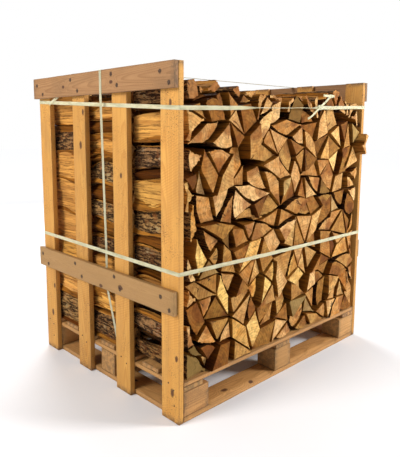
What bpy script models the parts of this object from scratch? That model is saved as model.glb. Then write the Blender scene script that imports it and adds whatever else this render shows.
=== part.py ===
"""A pallet of split firewood: a block pallet, two slatted side walls, three rows of logs, three straps.

Metres, +Z up. X runs across the front, Y from the front to the back.
The origin is on the floor, under the middle of the pallet.
"""
import math
import random

import bmesh
import bpy
from mathutils import Vector
from mathutils.geometry import delaunay_2d_cdt

GAP = 0.0003                      # left between pieces that touch

# Pallet
PALLET_WIDTH = 1.200
PALLET_DEPTH = 0.980
BASE_BOARD_WIDTH = 0.100
BASE_BOARD_HEIGHT = 0.022
BLOCK_TOP = 0.120
STRINGER_WIDTH = 0.100
STRINGER_TOP = 0.140
DECK_TOP = 0.158
DECK_BOARDS = 7
DECK_BOARD_WIDTH = 0.100
CORNER_BLOCK_WIDTH = 0.130
MIDDLE_BLOCK_WIDTH = 0.112
BLOCK_DEPTH = 0.100
CHAMFER_HEIGHT = 0.011
CHAMFER_DEPTH = 0.024

# Side walls
WALL_HEIGHT = 1.305
UPRIGHT_WIDTH = 0.098
UPRIGHT_THICKNESS = 0.024
UPRIGHTS_PER_WALL = 4
RAIL_THICKNESS = 0.020
TOP_RAIL_HEIGHT = 0.092
MIDDLE_RAIL_BOTTOM = 0.418
MIDDLE_RAIL_HEIGHT = 0.090
RAIL_REAR_OVERHANG = 0.014

# Straps
STRAP_WIDTH = 0.015
STRAP_THICKNESS = 0.001
# heights at the corners: front left, front right, back right, back left
UPPER_STRAP_HEIGHTS = (1.148, 1.184, 1.190, 1.200)
LOWER_STRAP_HEIGHTS = (0.569, 0.554, 0.560, 0.577)

# Firewood
LOG_ROWS = ("front", "middle", "back")
LOG_LENGTH = 0.322
COURSES = 6
LOG_SPACING = 0.078
EDGE_SPACING = 0.126
QUARTERED_SHARE = 0.52            # chance that two neighbouring wedges are one four-sided log
PILE_SIDE_CLEARANCE = 0.004
END_PROUD = 0.010                 # the ends stand up to this far in front of the walls' edges
END_SUNK = 0.022                  # or up to this far behind them
GROOVE_DEPTH = 0.028              # from the walls' edges back to where fused neighbours meet
GROOVE_WIDTH = 0.005
HOLLOW_DEPTH = 0.070
SLID_OUT = 0.045                  # the loose log in each outer row, past the walls' edges
SLID_SPOTS = {"front": (1.155, 0.972), "back": (0.200, 0.800)}
COURSE_GAP = 0.0003

# top outline of the front row, from the left wall to the right one
FRONT_TOP = (
    (0.004, 1.250), (0.060, 1.262), (0.108, 1.214), (0.166, 1.276), (0.212, 1.226),
    (0.288, 1.281), (0.318, 1.212), (0.352, 1.232), (0.410, 1.229), (0.464, 1.214),
    (0.520, 1.226), (0.580, 1.200), (0.647, 1.222), (0.705, 1.231), (0.757, 1.208),
    (0.805, 1.235), (0.861, 1.226), (0.926, 1.250), (0.968, 1.266), (1.013, 1.250),
    (1.051, 1.218), (1.099, 1.200), (1.150, 1.214), (1.196, 1.198),
)
REAR_TOP_LEFT = 1.236
REAR_TOP_RIGHT = 1.205
REAR_TOP_JITTER = 0.022

HALF_WIDTH = PALLET_WIDTH / 2
HALF_DEPTH = PALLET_DEPTH / 2
UPRIGHT_OUTER = HALF_WIDTH + GAP + UPRIGHT_THICKNESS
RAIL_INNER = UPRIGHT_OUTER + GAP
RAIL_OUTER = RAIL_INNER + RAIL_THICKNESS
PILE_BOTTOM = DECK_TOP + GAP
ROW_PITCH = (PALLET_DEPTH - LOG_LENGTH) / 2

WOODS = {
    "pallet_wood": ((0.46, 0.27, 0.13), 0.80),
    "upright_wood": ((0.72, 0.42, 0.17), 0.70),
    "rail_wood": ((0.60, 0.36, 0.19), 0.75),
    "split_wood": ((0.62, 0.38, 0.17), 0.80),
    "strap_plastic": ((0.84, 0.80, 0.62), 0.40),
}


def clear_scene():
    """Remove every object of the scene."""
    for item in list(bpy.data.objects):
        bpy.data.objects.remove(item, do_unlink=True)


def new_collection(name):
    """A collection linked to the scene."""
    collection = bpy.data.collections.new(name)
    bpy.context.scene.collection.children.link(collection)
    return collection


def make_material(name):
    """A plain finish: colour and roughness on a Principled BSDF."""
    colour, roughness = WOODS[name]
    material = bpy.data.materials.new(name)
    material.use_nodes = True
    shader = material.node_tree.nodes["Principled BSDF"]
    shader.inputs["Base Color"].default_value = (*colour, 1.0)
    shader.inputs["Roughness"].default_value = roughness
    shader.inputs["Metallic"].default_value = 0.0
    return material


class Workshop:
    """Holds the two collections and the finishes."""

    def __init__(self):
        self.parts = new_collection("firewood_pallet")
        self.cutters = new_collection("cutters")
        self.materials = {name: make_material(name) for name in WOODS}

    def add(self, name, mesh, finish):
        """Put a mesh in the parts collection as a named piece."""
        mesh.materials.append(self.materials[finish])
        piece = bpy.data.objects.new(name, mesh)
        self.parts.objects.link(piece)
        return piece

    def cut(self, piece, cutter_mesh):
        """Cut a closed mesh out of a piece."""
        cutter = bpy.data.objects.new(piece.name + "_cutter", cutter_mesh)
        self.cutters.objects.link(cutter)
        cutter.hide_render = True
        cutter.display_type = "WIRE"
        modifier = piece.modifiers.new("chamfers", "BOOLEAN")
        modifier.operation = "DIFFERENCE"
        modifier.solver = "EXACT"
        modifier.object = cutter


def board_mesh(name, size):
    """A sawn board of the given size, centred on its own origin."""
    bm = bmesh.new()
    bmesh.ops.create_cube(bm, size=1.0)
    bmesh.ops.scale(bm, vec=Vector(size), verts=bm.verts)
    mesh = bpy.data.meshes.new(name)
    bm.to_mesh(mesh)
    bm.free()
    return mesh


def board(shop, name, low, high, finish):
    """A board between its lowest and highest corners."""
    size = [b - a for a, b in zip(low, high)]
    piece = shop.add(name, board_mesh(name, size), finish)
    piece.location = [(a + b) / 2 for a, b in zip(low, high)]
    return piece


def chamfer_cutter(name, stretches, edge_y, inward):
    """Wedges that take the top edge off a board lying along X, over the given stretches."""
    bm = bmesh.new()
    top = BASE_BOARD_HEIGHT
    spare = 0.002
    for start, end in stretches:
        profile = [
            (edge_y - inward * spare, top - CHAMFER_HEIGHT - spare * CHAMFER_HEIGHT / CHAMFER_DEPTH),
            (edge_y + inward * CHAMFER_DEPTH, top),
            (edge_y + inward * CHAMFER_DEPTH, top + spare),
            (edge_y - inward * spare, top + spare),
        ]
        face = bm.faces.new([bm.verts.new((start, y, z)) for y, z in profile])
        swept = bmesh.ops.extrude_face_region(bm, geom=[face])
        moved = [item for item in swept["geom"] if isinstance(item, bmesh.types.BMVert)]
        bmesh.ops.translate(bm, vec=(end - start, 0.0, 0.0), verts=moved)
    bmesh.ops.recalc_face_normals(bm, faces=bm.faces)
    mesh = bpy.data.meshes.new(name)
    bm.to_mesh(mesh)
    bm.free()
    return mesh


def block_spans():
    """Where the three blocks of a rank start and end along X."""
    return (
        (-HALF_WIDTH, -HALF_WIDTH + CORNER_BLOCK_WIDTH),
        (-MIDDLE_BLOCK_WIDTH / 2, MIDDLE_BLOCK_WIDTH / 2),
        (HALF_WIDTH - CORNER_BLOCK_WIDTH, HALF_WIDTH),
    )


def rank_spans():
    """Where the three ranks of blocks start and end along Y."""
    return (
        (-HALF_DEPTH, -HALF_DEPTH + BLOCK_DEPTH),
        (-BLOCK_DEPTH / 2, BLOCK_DEPTH / 2),
        (HALF_DEPTH - BLOCK_DEPTH, HALF_DEPTH),
    )


def build_base_boards(shop):
    """Boards on the floor: front and back full length, the others butted between them."""
    spans = block_spans()
    clear_stretches = [
        (spans[0][1] + 0.006, spans[1][0] - 0.006),
        (spans[1][1] + 0.006, spans[2][0] - 0.006),
    ]
    for name, sign in (("base_board_front", -1), ("base_board_back", 1)):
        outer = sign * HALF_DEPTH
        inner = sign * (HALF_DEPTH - BASE_BOARD_WIDTH)
        piece = board(
            shop, name,
            (-HALF_WIDTH, min(outer, inner), 0.0),
            (HALF_WIDTH, max(outer, inner), BASE_BOARD_HEIGHT),
            "pallet_wood",
        )
        shop.cut(piece, chamfer_cutter(name + "_chamfer", clear_stretches, outer, -sign))
    side_end = HALF_DEPTH - BASE_BOARD_WIDTH - GAP
    for name, sign in (("base_board_left", -1), ("base_board_right", 1)):
        outer = sign * HALF_WIDTH
        inner = sign * (HALF_WIDTH - BASE_BOARD_WIDTH)
        board(
            shop, name,
            (min(outer, inner), -side_end, 0.0),
            (max(outer, inner), side_end, BASE_BOARD_HEIGHT),
            "pallet_wood",
        )
    middle_end = HALF_WIDTH - BASE_BOARD_WIDTH - GAP
    board(
        shop, "base_board_middle",
        (-middle_end, -BASE_BOARD_WIDTH / 2, 0.0),
        (middle_end, BASE_BOARD_WIDTH / 2, BASE_BOARD_HEIGHT),
        "pallet_wood",
    )


def build_blocks(shop):
    """Nine blocks between the base boards and the stringers."""
    for y_name, (y0, y1) in zip(("front", "middle", "back"), rank_spans()):
        for x_name, (x0, x1) in zip(("left", "centre", "right"), block_spans()):
            board(
                shop, f"block_{y_name}_{x_name}",
                (x0, y0, BASE_BOARD_HEIGHT + GAP),
                (x1, y1, BLOCK_TOP - GAP),
                "pallet_wood",
            )


def build_stringers(shop):
    """Three boards along Y that tie the blocks together."""
    centres = (-HALF_WIDTH + STRINGER_WIDTH / 2, 0.0, HALF_WIDTH - STRINGER_WIDTH / 2)
    for name, centre in zip(("left", "centre", "right"), centres):
        board(
            shop, f"stringer_{name}",
            (centre - STRINGER_WIDTH / 2, -HALF_DEPTH, BLOCK_TOP),
            (centre + STRINGER_WIDTH / 2, HALF_DEPTH, STRINGER_TOP - GAP),
            "pallet_wood",
        )


def build_deck(shop):
    """Evenly spaced deck boards along X."""
    pitch = (PALLET_DEPTH - DECK_BOARD_WIDTH) / (DECK_BOARDS - 1)
    for index in range(DECK_BOARDS):
        y0 = -HALF_DEPTH + index * pitch
        board(
            shop, f"deck_board_{index + 1}",
            (-HALF_WIDTH, y0, STRINGER_TOP),
            (HALF_WIDTH, y0 + DECK_BOARD_WIDTH, DECK_TOP),
            "pallet_wood",
        )


def build_walls(shop):
    """Each side wall: four uprights that reach the floor and two rails nailed on their outside."""
    pitch = (PALLET_DEPTH - UPRIGHT_WIDTH) / (UPRIGHTS_PER_WALL - 1)
    for side, sign in (("left", -1), ("right", 1)):
        inner = sign * (HALF_WIDTH + GAP)
        outer = sign * UPRIGHT_OUTER
        for index in range(UPRIGHTS_PER_WALL):
            y0 = -HALF_DEPTH + index * pitch
            board(
                shop, f"upright_{side}_{index + 1}",
                (min(inner, outer), y0, 0.0),
                (max(inner, outer), y0 + UPRIGHT_WIDTH, WALL_HEIGHT),
                "upright_wood",
            )
        rail_inner = sign * RAIL_INNER
        rail_outer = sign * RAIL_OUTER
        rails = (
            ("top_rail", WALL_HEIGHT - TOP_RAIL_HEIGHT, WALL_HEIGHT, 0.0),
            ("middle_rail", MIDDLE_RAIL_BOTTOM, MIDDLE_RAIL_BOTTOM + MIDDLE_RAIL_HEIGHT, 0.006),
        )
        for name, z0, z1, setback in rails:
            board(
                shop, f"{name}_{side}",
                (min(rail_inner, rail_outer), -HALF_DEPTH + setback, z0),
                (max(rail_inner, rail_outer), HALF_DEPTH + RAIL_REAR_OVERHANG, z1),
                "rail_wood",
            )


def ribbon(shop, name, route, across):
    """A closed flat strap along a route of its inner face, its width along the given axis."""
    bm = bmesh.new()
    half = Vector(across) * (STRAP_WIDTH / 2)
    first = [bm.verts.new(Vector(route[0]) - half), bm.verts.new(Vector(route[0]) + half)]
    edge = bm.edges.new(first)
    for point in route[1:]:
        grown = bmesh.ops.extrude_edge_only(bm, edges=[edge])["geom"]
        ends = [item for item in grown if isinstance(item, bmesh.types.BMVert)]
        edge = next(item for item in grown if isinstance(item, bmesh.types.BMEdge))
        middle = (ends[0].co + ends[1].co) / 2
        bmesh.ops.translate(bm, vec=Vector(point) - middle, verts=ends)
    closing = [item for item in bm.edges if item.is_boundary and len(item.link_faces) == 1]
    crosswise = [item for item in closing if set(item.verts) in (set(first), set(edge.verts))]
    bmesh.ops.bridge_loops(bm, edges=crosswise)
    centre = sum((Vector(point) for point in route), Vector()) / len(route)
    bm.normal_update()
    inward = sum(1 for face in bm.faces if face.normal.dot(face.calc_center_median() - centre) < 0)
    if inward > len(bm.faces) / 2:
        bmesh.ops.reverse_faces(bm, faces=bm.faces)
    mesh = bpy.data.meshes.new(name)
    bm.to_mesh(mesh)
    bm.free()
    piece = shop.add(name, mesh, "strap_plastic")
    solidify = piece.modifiers.new("thickness", "SOLIDIFY")
    solidify.thickness = STRAP_THICKNESS
    solidify.offset = 1.0
    solidify.use_even_offset = True
    return piece


def level_route(heights):
    """Round the four outer uprights, at the height given for each corner."""
    x = UPRIGHT_OUTER + GAP
    y = HALF_DEPTH + GAP
    signs = ((-1, -1), (1, -1), (1, 1), (-1, 1))
    return [(sx * x, sy * y, height) for (sx, sy), height in zip(signs, heights)]


def cross_route():
    """Over both top rails, down outside them, inside the middle rails and under the stringers."""
    rail = RAIL_OUTER + GAP
    between = UPRIGHT_OUTER - 0.012
    edge = HALF_WIDTH + 2 * GAP
    over = WALL_HEIGHT + GAP
    under = BLOCK_TOP - GAP
    y_rail = 0.437 - HALF_DEPTH
    y_middle = 0.466 - HALF_DEPTH
    y_base = 0.401 - HALF_DEPTH
    left = [
        (-rail, y_rail, over),
        (-rail, y_rail, WALL_HEIGHT - TOP_RAIL_HEIGHT),
        (-between, y_middle, MIDDLE_RAIL_BOTTOM + MIDDLE_RAIL_HEIGHT + 0.07),
        (-between, y_middle, MIDDLE_RAIL_BOTTOM),
        (-edge, y_base, DECK_TOP),
        (-edge, y_base, under),
    ]
    right = [(-x, y, z) for x, y, z in reversed(left)]
    return left + right


def build_straps(shop):
    """Two straps round the walls and one over the top and under the deck."""
    ribbon(shop, "strap_upper", level_route(UPPER_STRAP_HEIGHTS), (0, 0, 1))
    ribbon(shop, "strap_lower", level_route(LOWER_STRAP_HEIGHTS), (0, 0, 1))
    ribbon(shop, "strap_cross", cross_route(), (0, 1, 0))


def pile_top(row, rng):
    """Top outline of a row, left to right."""
    if row == "front":
        return list(FRONT_TOP)
    outline = []
    count = 18
    for index in range(count + 1):
        share = index / count
        x = PILE_SIDE_CLEARANCE + share * (PALLET_WIDTH - 2 * PILE_SIDE_CLEARANCE)
        if 0 < index < count:
            x += rng.uniform(-0.012, 0.012)
        level = REAR_TOP_LEFT + share * (REAR_TOP_RIGHT - REAR_TOP_LEFT)
        zigzag = REAR_TOP_JITTER if index % 2 else -REAR_TOP_JITTER
        outline.append((x, level + zigzag * rng.uniform(0.3, 1.0)))
    return outline


def side_points(rng, x_edge, inward, z_from, z_to):
    """Points up one side of the pile, some set back from the wall."""
    count = round(abs(z_to - z_from) / EDGE_SPACING)
    points = []
    for index in range(1, count):
        z = z_from + (z_to - z_from) * (index + rng.uniform(-0.22, 0.22)) / count
        points.append((x_edge + inward * rng.choice((0.0, 0.004, 0.016)), z))
    return points


def bottom_points(rng):
    """Points along the deck, where the lowest logs rest."""
    low = PILE_SIDE_CLEARANCE
    high = PALLET_WIDTH - PILE_SIDE_CLEARANCE
    count = round((high - low) / EDGE_SPACING)
    points = [(low, PILE_BOTTOM)]
    for index in range(1, count):
        x = low + (high - low) * (index + rng.uniform(-0.2, 0.2)) / count
        points.append((x, PILE_BOTTOM))
    points.append((high, PILE_BOTTOM))
    return points


def inside(point, outline):
    """Whether a point lies in a closed outline."""
    x, z = point
    found = False
    for (x0, z0), (x1, z1) in zip(outline, outline[1:] + outline[:1]):
        if (z0 > z) != (z1 > z) and x < x0 + (z - z0) * (x1 - x0) / (z1 - z0):
            found = not found
    return found


def segment_distance(point, start, end):
    """Distance from a point to a segment, in the plane."""
    px, pz = point
    ax, az = start
    dx = end[0] - ax
    dz = end[1] - az
    along = ((px - ax) * dx + (pz - az) * dz) / (dx * dx + dz * dz)
    along = min(1.0, max(0.0, along))
    return math.hypot(px - ax - along * dx, pz - az - along * dz)


def scatter(rng, outline):
    """Points inside the outline, no two closer than the spacing."""
    sides = list(zip(outline, outline[1:] + outline[:1]))
    points = []
    for _ in range(5200):
        point = (rng.uniform(0.0, PALLET_WIDTH), rng.uniform(PILE_BOTTOM, WALL_HEIGHT))
        if not inside(point, outline):
            continue
        if any(math.dist(point, other) < LOG_SPACING for other in points):
            continue
        if min(segment_distance(point, a, b) for a, b in sides) < LOG_SPACING * 0.58:
            continue
        points.append(point)
    return points


def corner_angles(points):
    """The inner angles of a polygon that runs anticlockwise, in degrees."""
    angles = []
    count = len(points)
    for index in range(count):
        before = Vector(points[index - 1]) - Vector(points[index])
        after = Vector(points[(index + 1) % count]) - Vector(points[index])
        angle = math.degrees(math.atan2(before.y, before.x) - math.atan2(after.y, after.x))
        angles.append(angle % 360.0)
    return angles


def polygon_area(points):
    """The area of a polygon that runs anticlockwise."""
    total = 0.0
    for (x0, z0), (x1, z1) in zip(points, points[1:] + points[:1]):
        total += x0 * z1 - x1 * z0
    return total / 2


def merged(first, second):
    """Two triangles joined over the edge they share, or None if they share none."""
    for index in range(3):
        a = first[index]
        b = first[(index + 1) % 3]
        if a in second and b in second:
            apex = next(item for item in second if item not in (a, b))
            return [a, apex, b, first[(index + 2) % 3]]
    return None


def log_sections(row):
    """The cross-sections of one row's logs: points in the plane, and cells of point numbers."""
    rng = random.Random("firewood " + row)
    top = pile_top(row, rng)
    low = PILE_SIDE_CLEARANCE
    high = PALLET_WIDTH - PILE_SIDE_CLEARANCE
    bottom = bottom_points(rng)
    right = side_points(rng, high, -1, PILE_BOTTOM, top[-1][1])
    left = side_points(rng, low, 1, top[0][1], PILE_BOTTOM)
    outline = bottom + right + list(reversed(top)) + left
    points = outline + scatter(rng, outline)
    ring = [(index, (index + 1) % len(outline)) for index in range(len(outline))]
    vectors = [Vector(point) for point in points]
    result = delaunay_2d_cdt(vectors, ring, [], 1, 1e-6)
    corners = [tuple(point) for point in result[0]]
    triangles = [list(face) for face in result[2]]
    triangles = [tri if polygon_area([corners[i] for i in tri]) > 0 else tri[::-1] for tri in triangles]
    owners = {}
    for number, tri in enumerate(triangles):
        for index in range(3):
            key = frozenset((tri[index], tri[(index + 1) % 3]))
            owners.setdefault(key, []).append(number)
    pairs = [pair for pair in owners.values() if len(pair) == 2]
    rng.shuffle(pairs)
    taken = set()
    cells = []
    for first, second in pairs:
        if first in taken or second in taken or rng.random() > QUARTERED_SHARE:
            continue
        quad = merged(triangles[first], triangles[second])
        shape = [corners[i] for i in quad]
        slim = min(polygon_area([corners[i] for i in triangles[n]]) for n in (first, second)) < 0.0022
        if max(corner_angles(shape)) > 168.0 or (polygon_area(shape) > 0.0098 and not slim):
            continue
        taken.update((first, second))
        cells.append(quad)
    cells += [tri for number, tri in enumerate(triangles) if number not in taken]
    cells.sort(key=lambda cell: (sum(corners[i][1] for i in cell) / len(cell), cell[0]))
    return corners, cells


def cell_centre(corners, cell):
    """The middle of a cell's corners."""
    count = len(cell)
    return sum(corners[i][0] for i in cell) / count, sum(corners[i][1] for i in cell) / count


def neighbours(cells):
    """For each cell, the cells that share an edge with it."""
    owners = {}
    for number, cell in enumerate(cells):
        for a, b in zip(cell, cell[1:] + cell[:1]):
            owners.setdefault(frozenset((a, b)), []).append(number)
    table = {number: set() for number in range(len(cells))}
    for pair in owners.values():
        if len(pair) == 2:
            table[pair[0]].add(pair[1])
            table[pair[1]].add(pair[0])
    return table


def connected_groups(members, table):
    """Split a set of cells into groups that hang together by their edges, largest first."""
    left = set(members)
    groups = []
    while left:
        group = {min(left)}
        frontier = list(group)
        while frontier:
            reached = (table[frontier.pop()] & left) - group
            group |= reached
            frontier += sorted(reached)
        left -= group
        groups.append(group)
    return sorted(groups, key=lambda group: (-len(group), min(group)))


def assign_courses(corners, cells, loose):
    """A course number for each cell but the loose one, every course one connected band."""
    top = max(corners[i][1] for cell in cells for i in cell)
    course = {}
    for number, cell in enumerate(cells):
        height = (cell_centre(corners, cell)[1] - PILE_BOTTOM) / (top - 0.06 - PILE_BOTTOM)
        course[number] = min(COURSES - 1, int(height * COURSES))
    course.pop(loose, None)
    table = neighbours(cells)
    for _ in range(6):
        for level in range(COURSES):
            members = [number for number in course if course[number] == level]
            for group in connected_groups(members, table)[1:]:
                near = [n for number in sorted(group) for n in sorted(table[number] - group)]
                around = [course[n] for n in near if n in course]
                best = max(set(around), key=lambda value: (around.count(value), -value))
                for number in group:
                    course[number] = best
    return course


def split_pinches(cells):
    """Give a corner that only touches at a point a number of its own in each fan of cells."""
    table = neighbours(cells)
    fresh = max(i for cell in cells for i in cell) + 1
    origin = {}
    cells = [list(cell) for cell in cells]
    for corner in sorted({i for cell in cells for i in cell}):
        around = [number for number, cell in enumerate(cells) if corner in cell]
        edge_table = {}
        for number in around:
            near = set()
            for other in table[number]:
                if other in around and len(set(cells[number]) & set(cells[other])) >= 2:
                    near.add(other)
            edge_table[number] = near
        for fan in connected_groups(around, edge_table)[1:]:
            origin[fresh] = corner
            for number in fan:
                cells[number] = [fresh if i == corner else i for i in cells[number]]
            fresh += 1
    return cells, origin


def drawn_in(corners, cells):
    """The corners with the band's outer ones moved inward by the gap to its neighbours."""
    directed = {(a, b) for cell in cells for a, b in zip(cell, cell[1:] + cell[:1])}
    border = {a: b for a, b in directed if (b, a) not in directed}
    moved = dict(corners)
    before = {b: a for a, b in border.items()}
    for corner, following in border.items():
        here = Vector(corners[corner])
        back = (here - Vector(corners[before[corner]])).normalized()
        ahead = (Vector(corners[following]) - here).normalized()
        normal = Vector((-back.y - ahead.y, back.x + ahead.x))
        if normal.length < 1e-6:
            continue
        normal.normalize()
        slope = max(0.2, normal.dot(Vector((-ahead.y, ahead.x))))
        moved[corner] = tuple(here + normal * (COURSE_GAP / slope))
    return moved


def inner_radius(points):
    """Roughly the largest circle that fits in a convex polygon."""
    around = sum(math.dist(a, b) for a, b in zip(points, points[1:] + points[:1]))
    return 2 * polygon_area(points) / around


def strap_height(heights, x):
    """Height of a level strap across the front or the back, x from 0 at the left."""
    share = x / PALLET_WIDTH
    return heights[0] + share * (heights[1] - heights[0])


def under_strap(points, row):
    """Whether a log's end lies behind one of the level straps."""
    for heights in (UPPER_STRAP_HEIGHTS, LOWER_STRAP_HEIGHTS):
        pair = heights[:2] if row == "front" else (heights[3], heights[2])
        low = min(z - strap_height(pair, x) for x, z in points)
        high = max(z - strap_height(pair, x) for x, z in points)
        if low < STRAP_WIDTH and high > -STRAP_WIDTH:
            return True
    return False


def slid_log(row, corners, cells):
    """The number of the cell whose log slid out of its row, or None in the middle row."""
    if row not in SLID_SPOTS:
        return None
    spot = SLID_SPOTS[row]
    return min(
        range(len(cells)),
        key=lambda number: math.dist(cell_centre(corners, cells[number]), spot),
    )


def end_depths(row, corners, cells):
    """How far each log's end stands behind the walls' edges; negative is proud, None a hollow."""
    rng = random.Random("ends " + row)
    depths = []
    for cell in cells:
        shape = [corners[i] for i in cell]
        depth = rng.uniform(-END_PROUD, END_SUNK)
        hollow = rng.random() < 0.16 and polygon_area(shape) < 0.0036
        if under_strap(shape, row):
            depth = abs(depth) + 0.001
        depths.append(None if hollow else depth)
    return depths


def shape_end(bm, face, points, outward, depth):
    """Raise a log's end from the groove, or sink it to a hollow."""
    radius = inner_radius(points)
    bmesh.ops.inset_individual(bm, faces=[face], thickness=min(GROOVE_WIDTH, 0.35 * radius))
    if depth is None:
        travel = -(HOLLOW_DEPTH - GROOVE_DEPTH)
    else:
        travel = GROOVE_DEPTH - depth
    grown = bmesh.ops.extrude_discrete_faces(bm, faces=[face])["faces"]
    bmesh.ops.translate(bm, vec=(0.0, outward * travel, 0.0), verts=grown[0].verts)


def build_course(shop, name, row, corners, cells, depths):
    """One course of a row: its logs fused side by side, each with its own end."""
    front = -HALF_DEPTH + LOG_ROWS.index(row) * ROW_PITCH
    back = front + LOG_LENGTH
    outward = {"front": -1, "back": 1}.get(row, 0)
    if outward == 1:
        near, far = back - GROOVE_DEPTH, front
    elif outward == -1:
        near, far = front + GROOVE_DEPTH, back
    else:
        near, far = front, back
    cells, origin = split_pinches(cells)
    places = {i: corners[origin.get(i, i)] for cell in cells for i in cell}
    places = drawn_in(places, cells)
    bm = bmesh.new()
    verts = {number: bm.verts.new((x - HALF_WIDTH, near, z)) for number, (x, z) in places.items()}
    ends = [bm.faces.new([verts[i] for i in cell]) for cell in cells]
    swept = bmesh.ops.extrude_face_region(bm, geom=ends)["geom"]
    moved = [item for item in swept if isinstance(item, bmesh.types.BMVert)]
    bmesh.ops.translate(bm, vec=(0.0, far - near, 0.0), verts=moved)
    bmesh.ops.recalc_face_normals(bm, faces=bm.faces)
    if outward:
        for end, cell, depth in zip(ends, cells, depths):
            shape_end(bm, end, [places[i] for i in cell], outward, depth)
    bmesh.ops.triangulate(bm, faces=bm.faces)
    mesh = bpy.data.meshes.new(name)
    bm.to_mesh(mesh)
    bm.free()
    shop.add(name, mesh, "split_wood")


def build_slid_log(shop, name, row, shape):
    """The loose log of an outer row, further out than the rest."""
    places = drawn_in(dict(enumerate(shape)), [list(range(len(shape)))])
    out = -HALF_DEPTH - SLID_OUT
    near, far = (out, out + LOG_LENGTH) if row == "front" else (-out, -out - LOG_LENGTH)
    bm = bmesh.new()
    end = bm.faces.new([bm.verts.new((x - HALF_WIDTH, near, z)) for x, z in places.values()])
    swept = bmesh.ops.extrude_face_region(bm, geom=[end])["geom"]
    moved = [item for item in swept if isinstance(item, bmesh.types.BMVert)]
    bmesh.ops.translate(bm, vec=(0.0, far - near, 0.0), verts=moved)
    bmesh.ops.recalc_face_normals(bm, faces=bm.faces)
    mesh = bpy.data.meshes.new(name)
    bm.to_mesh(mesh)
    bm.free()
    shop.add(name, mesh, "split_wood")


def build_firewood(shop):
    """Three rows of logs, each in courses from the deck up, and the two logs that slid out."""
    for row in LOG_ROWS:
        corners, cells = log_sections(row)
        loose = slid_log(row, corners, cells)
        course = assign_courses(corners, cells, loose)
        depths = end_depths(row, corners, cells)
        for level in range(COURSES):
            members = [number for number in sorted(course) if course[number] == level]
            build_course(
                shop, f"logs_{row}_{level + 1}", row,
                {i: corners[i] for number in members for i in cells[number]},
                [cells[number] for number in members],
                [depths[number] for number in members],
            )
        if loose is not None:
            build_slid_log(shop, f"log_slid_{row}", row, [corners[i] for i in cells[loose]])


def main():
    """Build the pallet of firewood."""
    clear_scene()
    shop = Workshop()
    build_base_boards(shop)
    build_blocks(shop)
    build_stringers(shop)
    build_deck(shop)
    build_walls(shop)
    build_straps(shop)
    build_firewood(shop)


main()
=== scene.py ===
"""The looks of a pallet of split firewood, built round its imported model.

Every board, nail, strap and log is modelled here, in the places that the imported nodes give.
Metres, +Z up. X runs across the front, Y from the front to the back.
"""

import math
import random
from collections import namedtuple

import bmesh
import bpy
from bpy.props import FloatProperty, FloatVectorProperty, PointerProperty
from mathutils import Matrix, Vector, noise
from mathutils.geometry import delaunay_2d_cdt


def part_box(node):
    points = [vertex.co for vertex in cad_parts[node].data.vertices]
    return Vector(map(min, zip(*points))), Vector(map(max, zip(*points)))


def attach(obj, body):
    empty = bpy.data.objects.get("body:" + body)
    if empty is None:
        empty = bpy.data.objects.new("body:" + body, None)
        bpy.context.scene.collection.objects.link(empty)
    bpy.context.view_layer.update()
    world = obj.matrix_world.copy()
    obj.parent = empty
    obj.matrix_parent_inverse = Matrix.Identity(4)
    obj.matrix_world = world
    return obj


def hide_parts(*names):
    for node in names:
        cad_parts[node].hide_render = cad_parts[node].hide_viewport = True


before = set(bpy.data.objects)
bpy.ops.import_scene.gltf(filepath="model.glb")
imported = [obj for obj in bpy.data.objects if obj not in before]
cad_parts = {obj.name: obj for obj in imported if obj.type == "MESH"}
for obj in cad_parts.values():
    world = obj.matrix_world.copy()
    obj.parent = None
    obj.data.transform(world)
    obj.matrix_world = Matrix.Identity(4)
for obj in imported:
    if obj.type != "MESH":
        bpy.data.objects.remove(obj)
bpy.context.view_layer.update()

bl_info = {
    "name": "Firewood Pallet",
    "version": (1, 0, 0),
    "blender": (4, 5, 0),
    "location": "View3D > Sidebar > Firewood",
    "description": "Dresses a pallet of split firewood: boards, nails, straps, logs and a studio",
    "category": "Object",
}

UP = Vector((0.0, 0.0, 1.0))
BACKWARD = Vector((0.0, 1.0, 0.0))

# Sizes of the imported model
PALLET_WIDTH = 1.200
PALLET_DEPTH = 0.980
DECK_TOP = 0.158
GAP = 0.0003
WALL_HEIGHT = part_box("upright_left_1")[1].z
HALF_WIDTH = PALLET_WIDTH / 2
HALF_DEPTH = PALLET_DEPTH / 2
UPRIGHT_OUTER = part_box("upright_right_1")[1].x
RAIL_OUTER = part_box("top_rail_right")[1].x
BLOCK_EDGES = (
    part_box("block_front_left")[1].x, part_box("block_front_centre")[0].x,
    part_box("block_front_centre")[1].x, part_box("block_front_right")[0].x,
)
CHAMFER_HEIGHT = 0.011
CHAMFER_DEPTH = 0.024
CHAMFER_SETBACK = 0.006
CHAMFER_RUN_OUT = 0.022
NAIL_HEAD_DEPTH = 0.0024
NAIL_SET_IN = 0.0009

# The nails at each upright: on a rail, by their share of its height and the side of the upright's
# middle, and at the foot, by height and side; the lowest are in the corner uprights only
RAIL_NAILS = ((-0.22, -1), (0.20, 1))
FOOT_NAILS = ((0.129, -1), (0.148, 1), (0.066, -1))
LOW_NAIL = 0.1

# Heights of the level straps at the corners: front left, front right, back right, back left
UPPER_STRAP_HEIGHTS = (1.148, 1.184, 1.190, 1.200)
LOWER_STRAP_HEIGHTS = (0.569, 0.554, 0.560, 0.577)
STRAP_WIDTH = 0.015
TAIL_WIDTH = 0.65 * STRAP_WIDTH
STRAP_BEND = 0.004
TWIST_START = -0.36
TWIST_END = 0.205
TWIST_IN = 0.16
TWIST_OUT = 0.05
TWIST_ANGLE = 1.45
STRAP_JOINT = (0.217, 1.172)
CROSS_STRAP_DEPTHS = (0.437, 0.466, 0.401)

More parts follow.
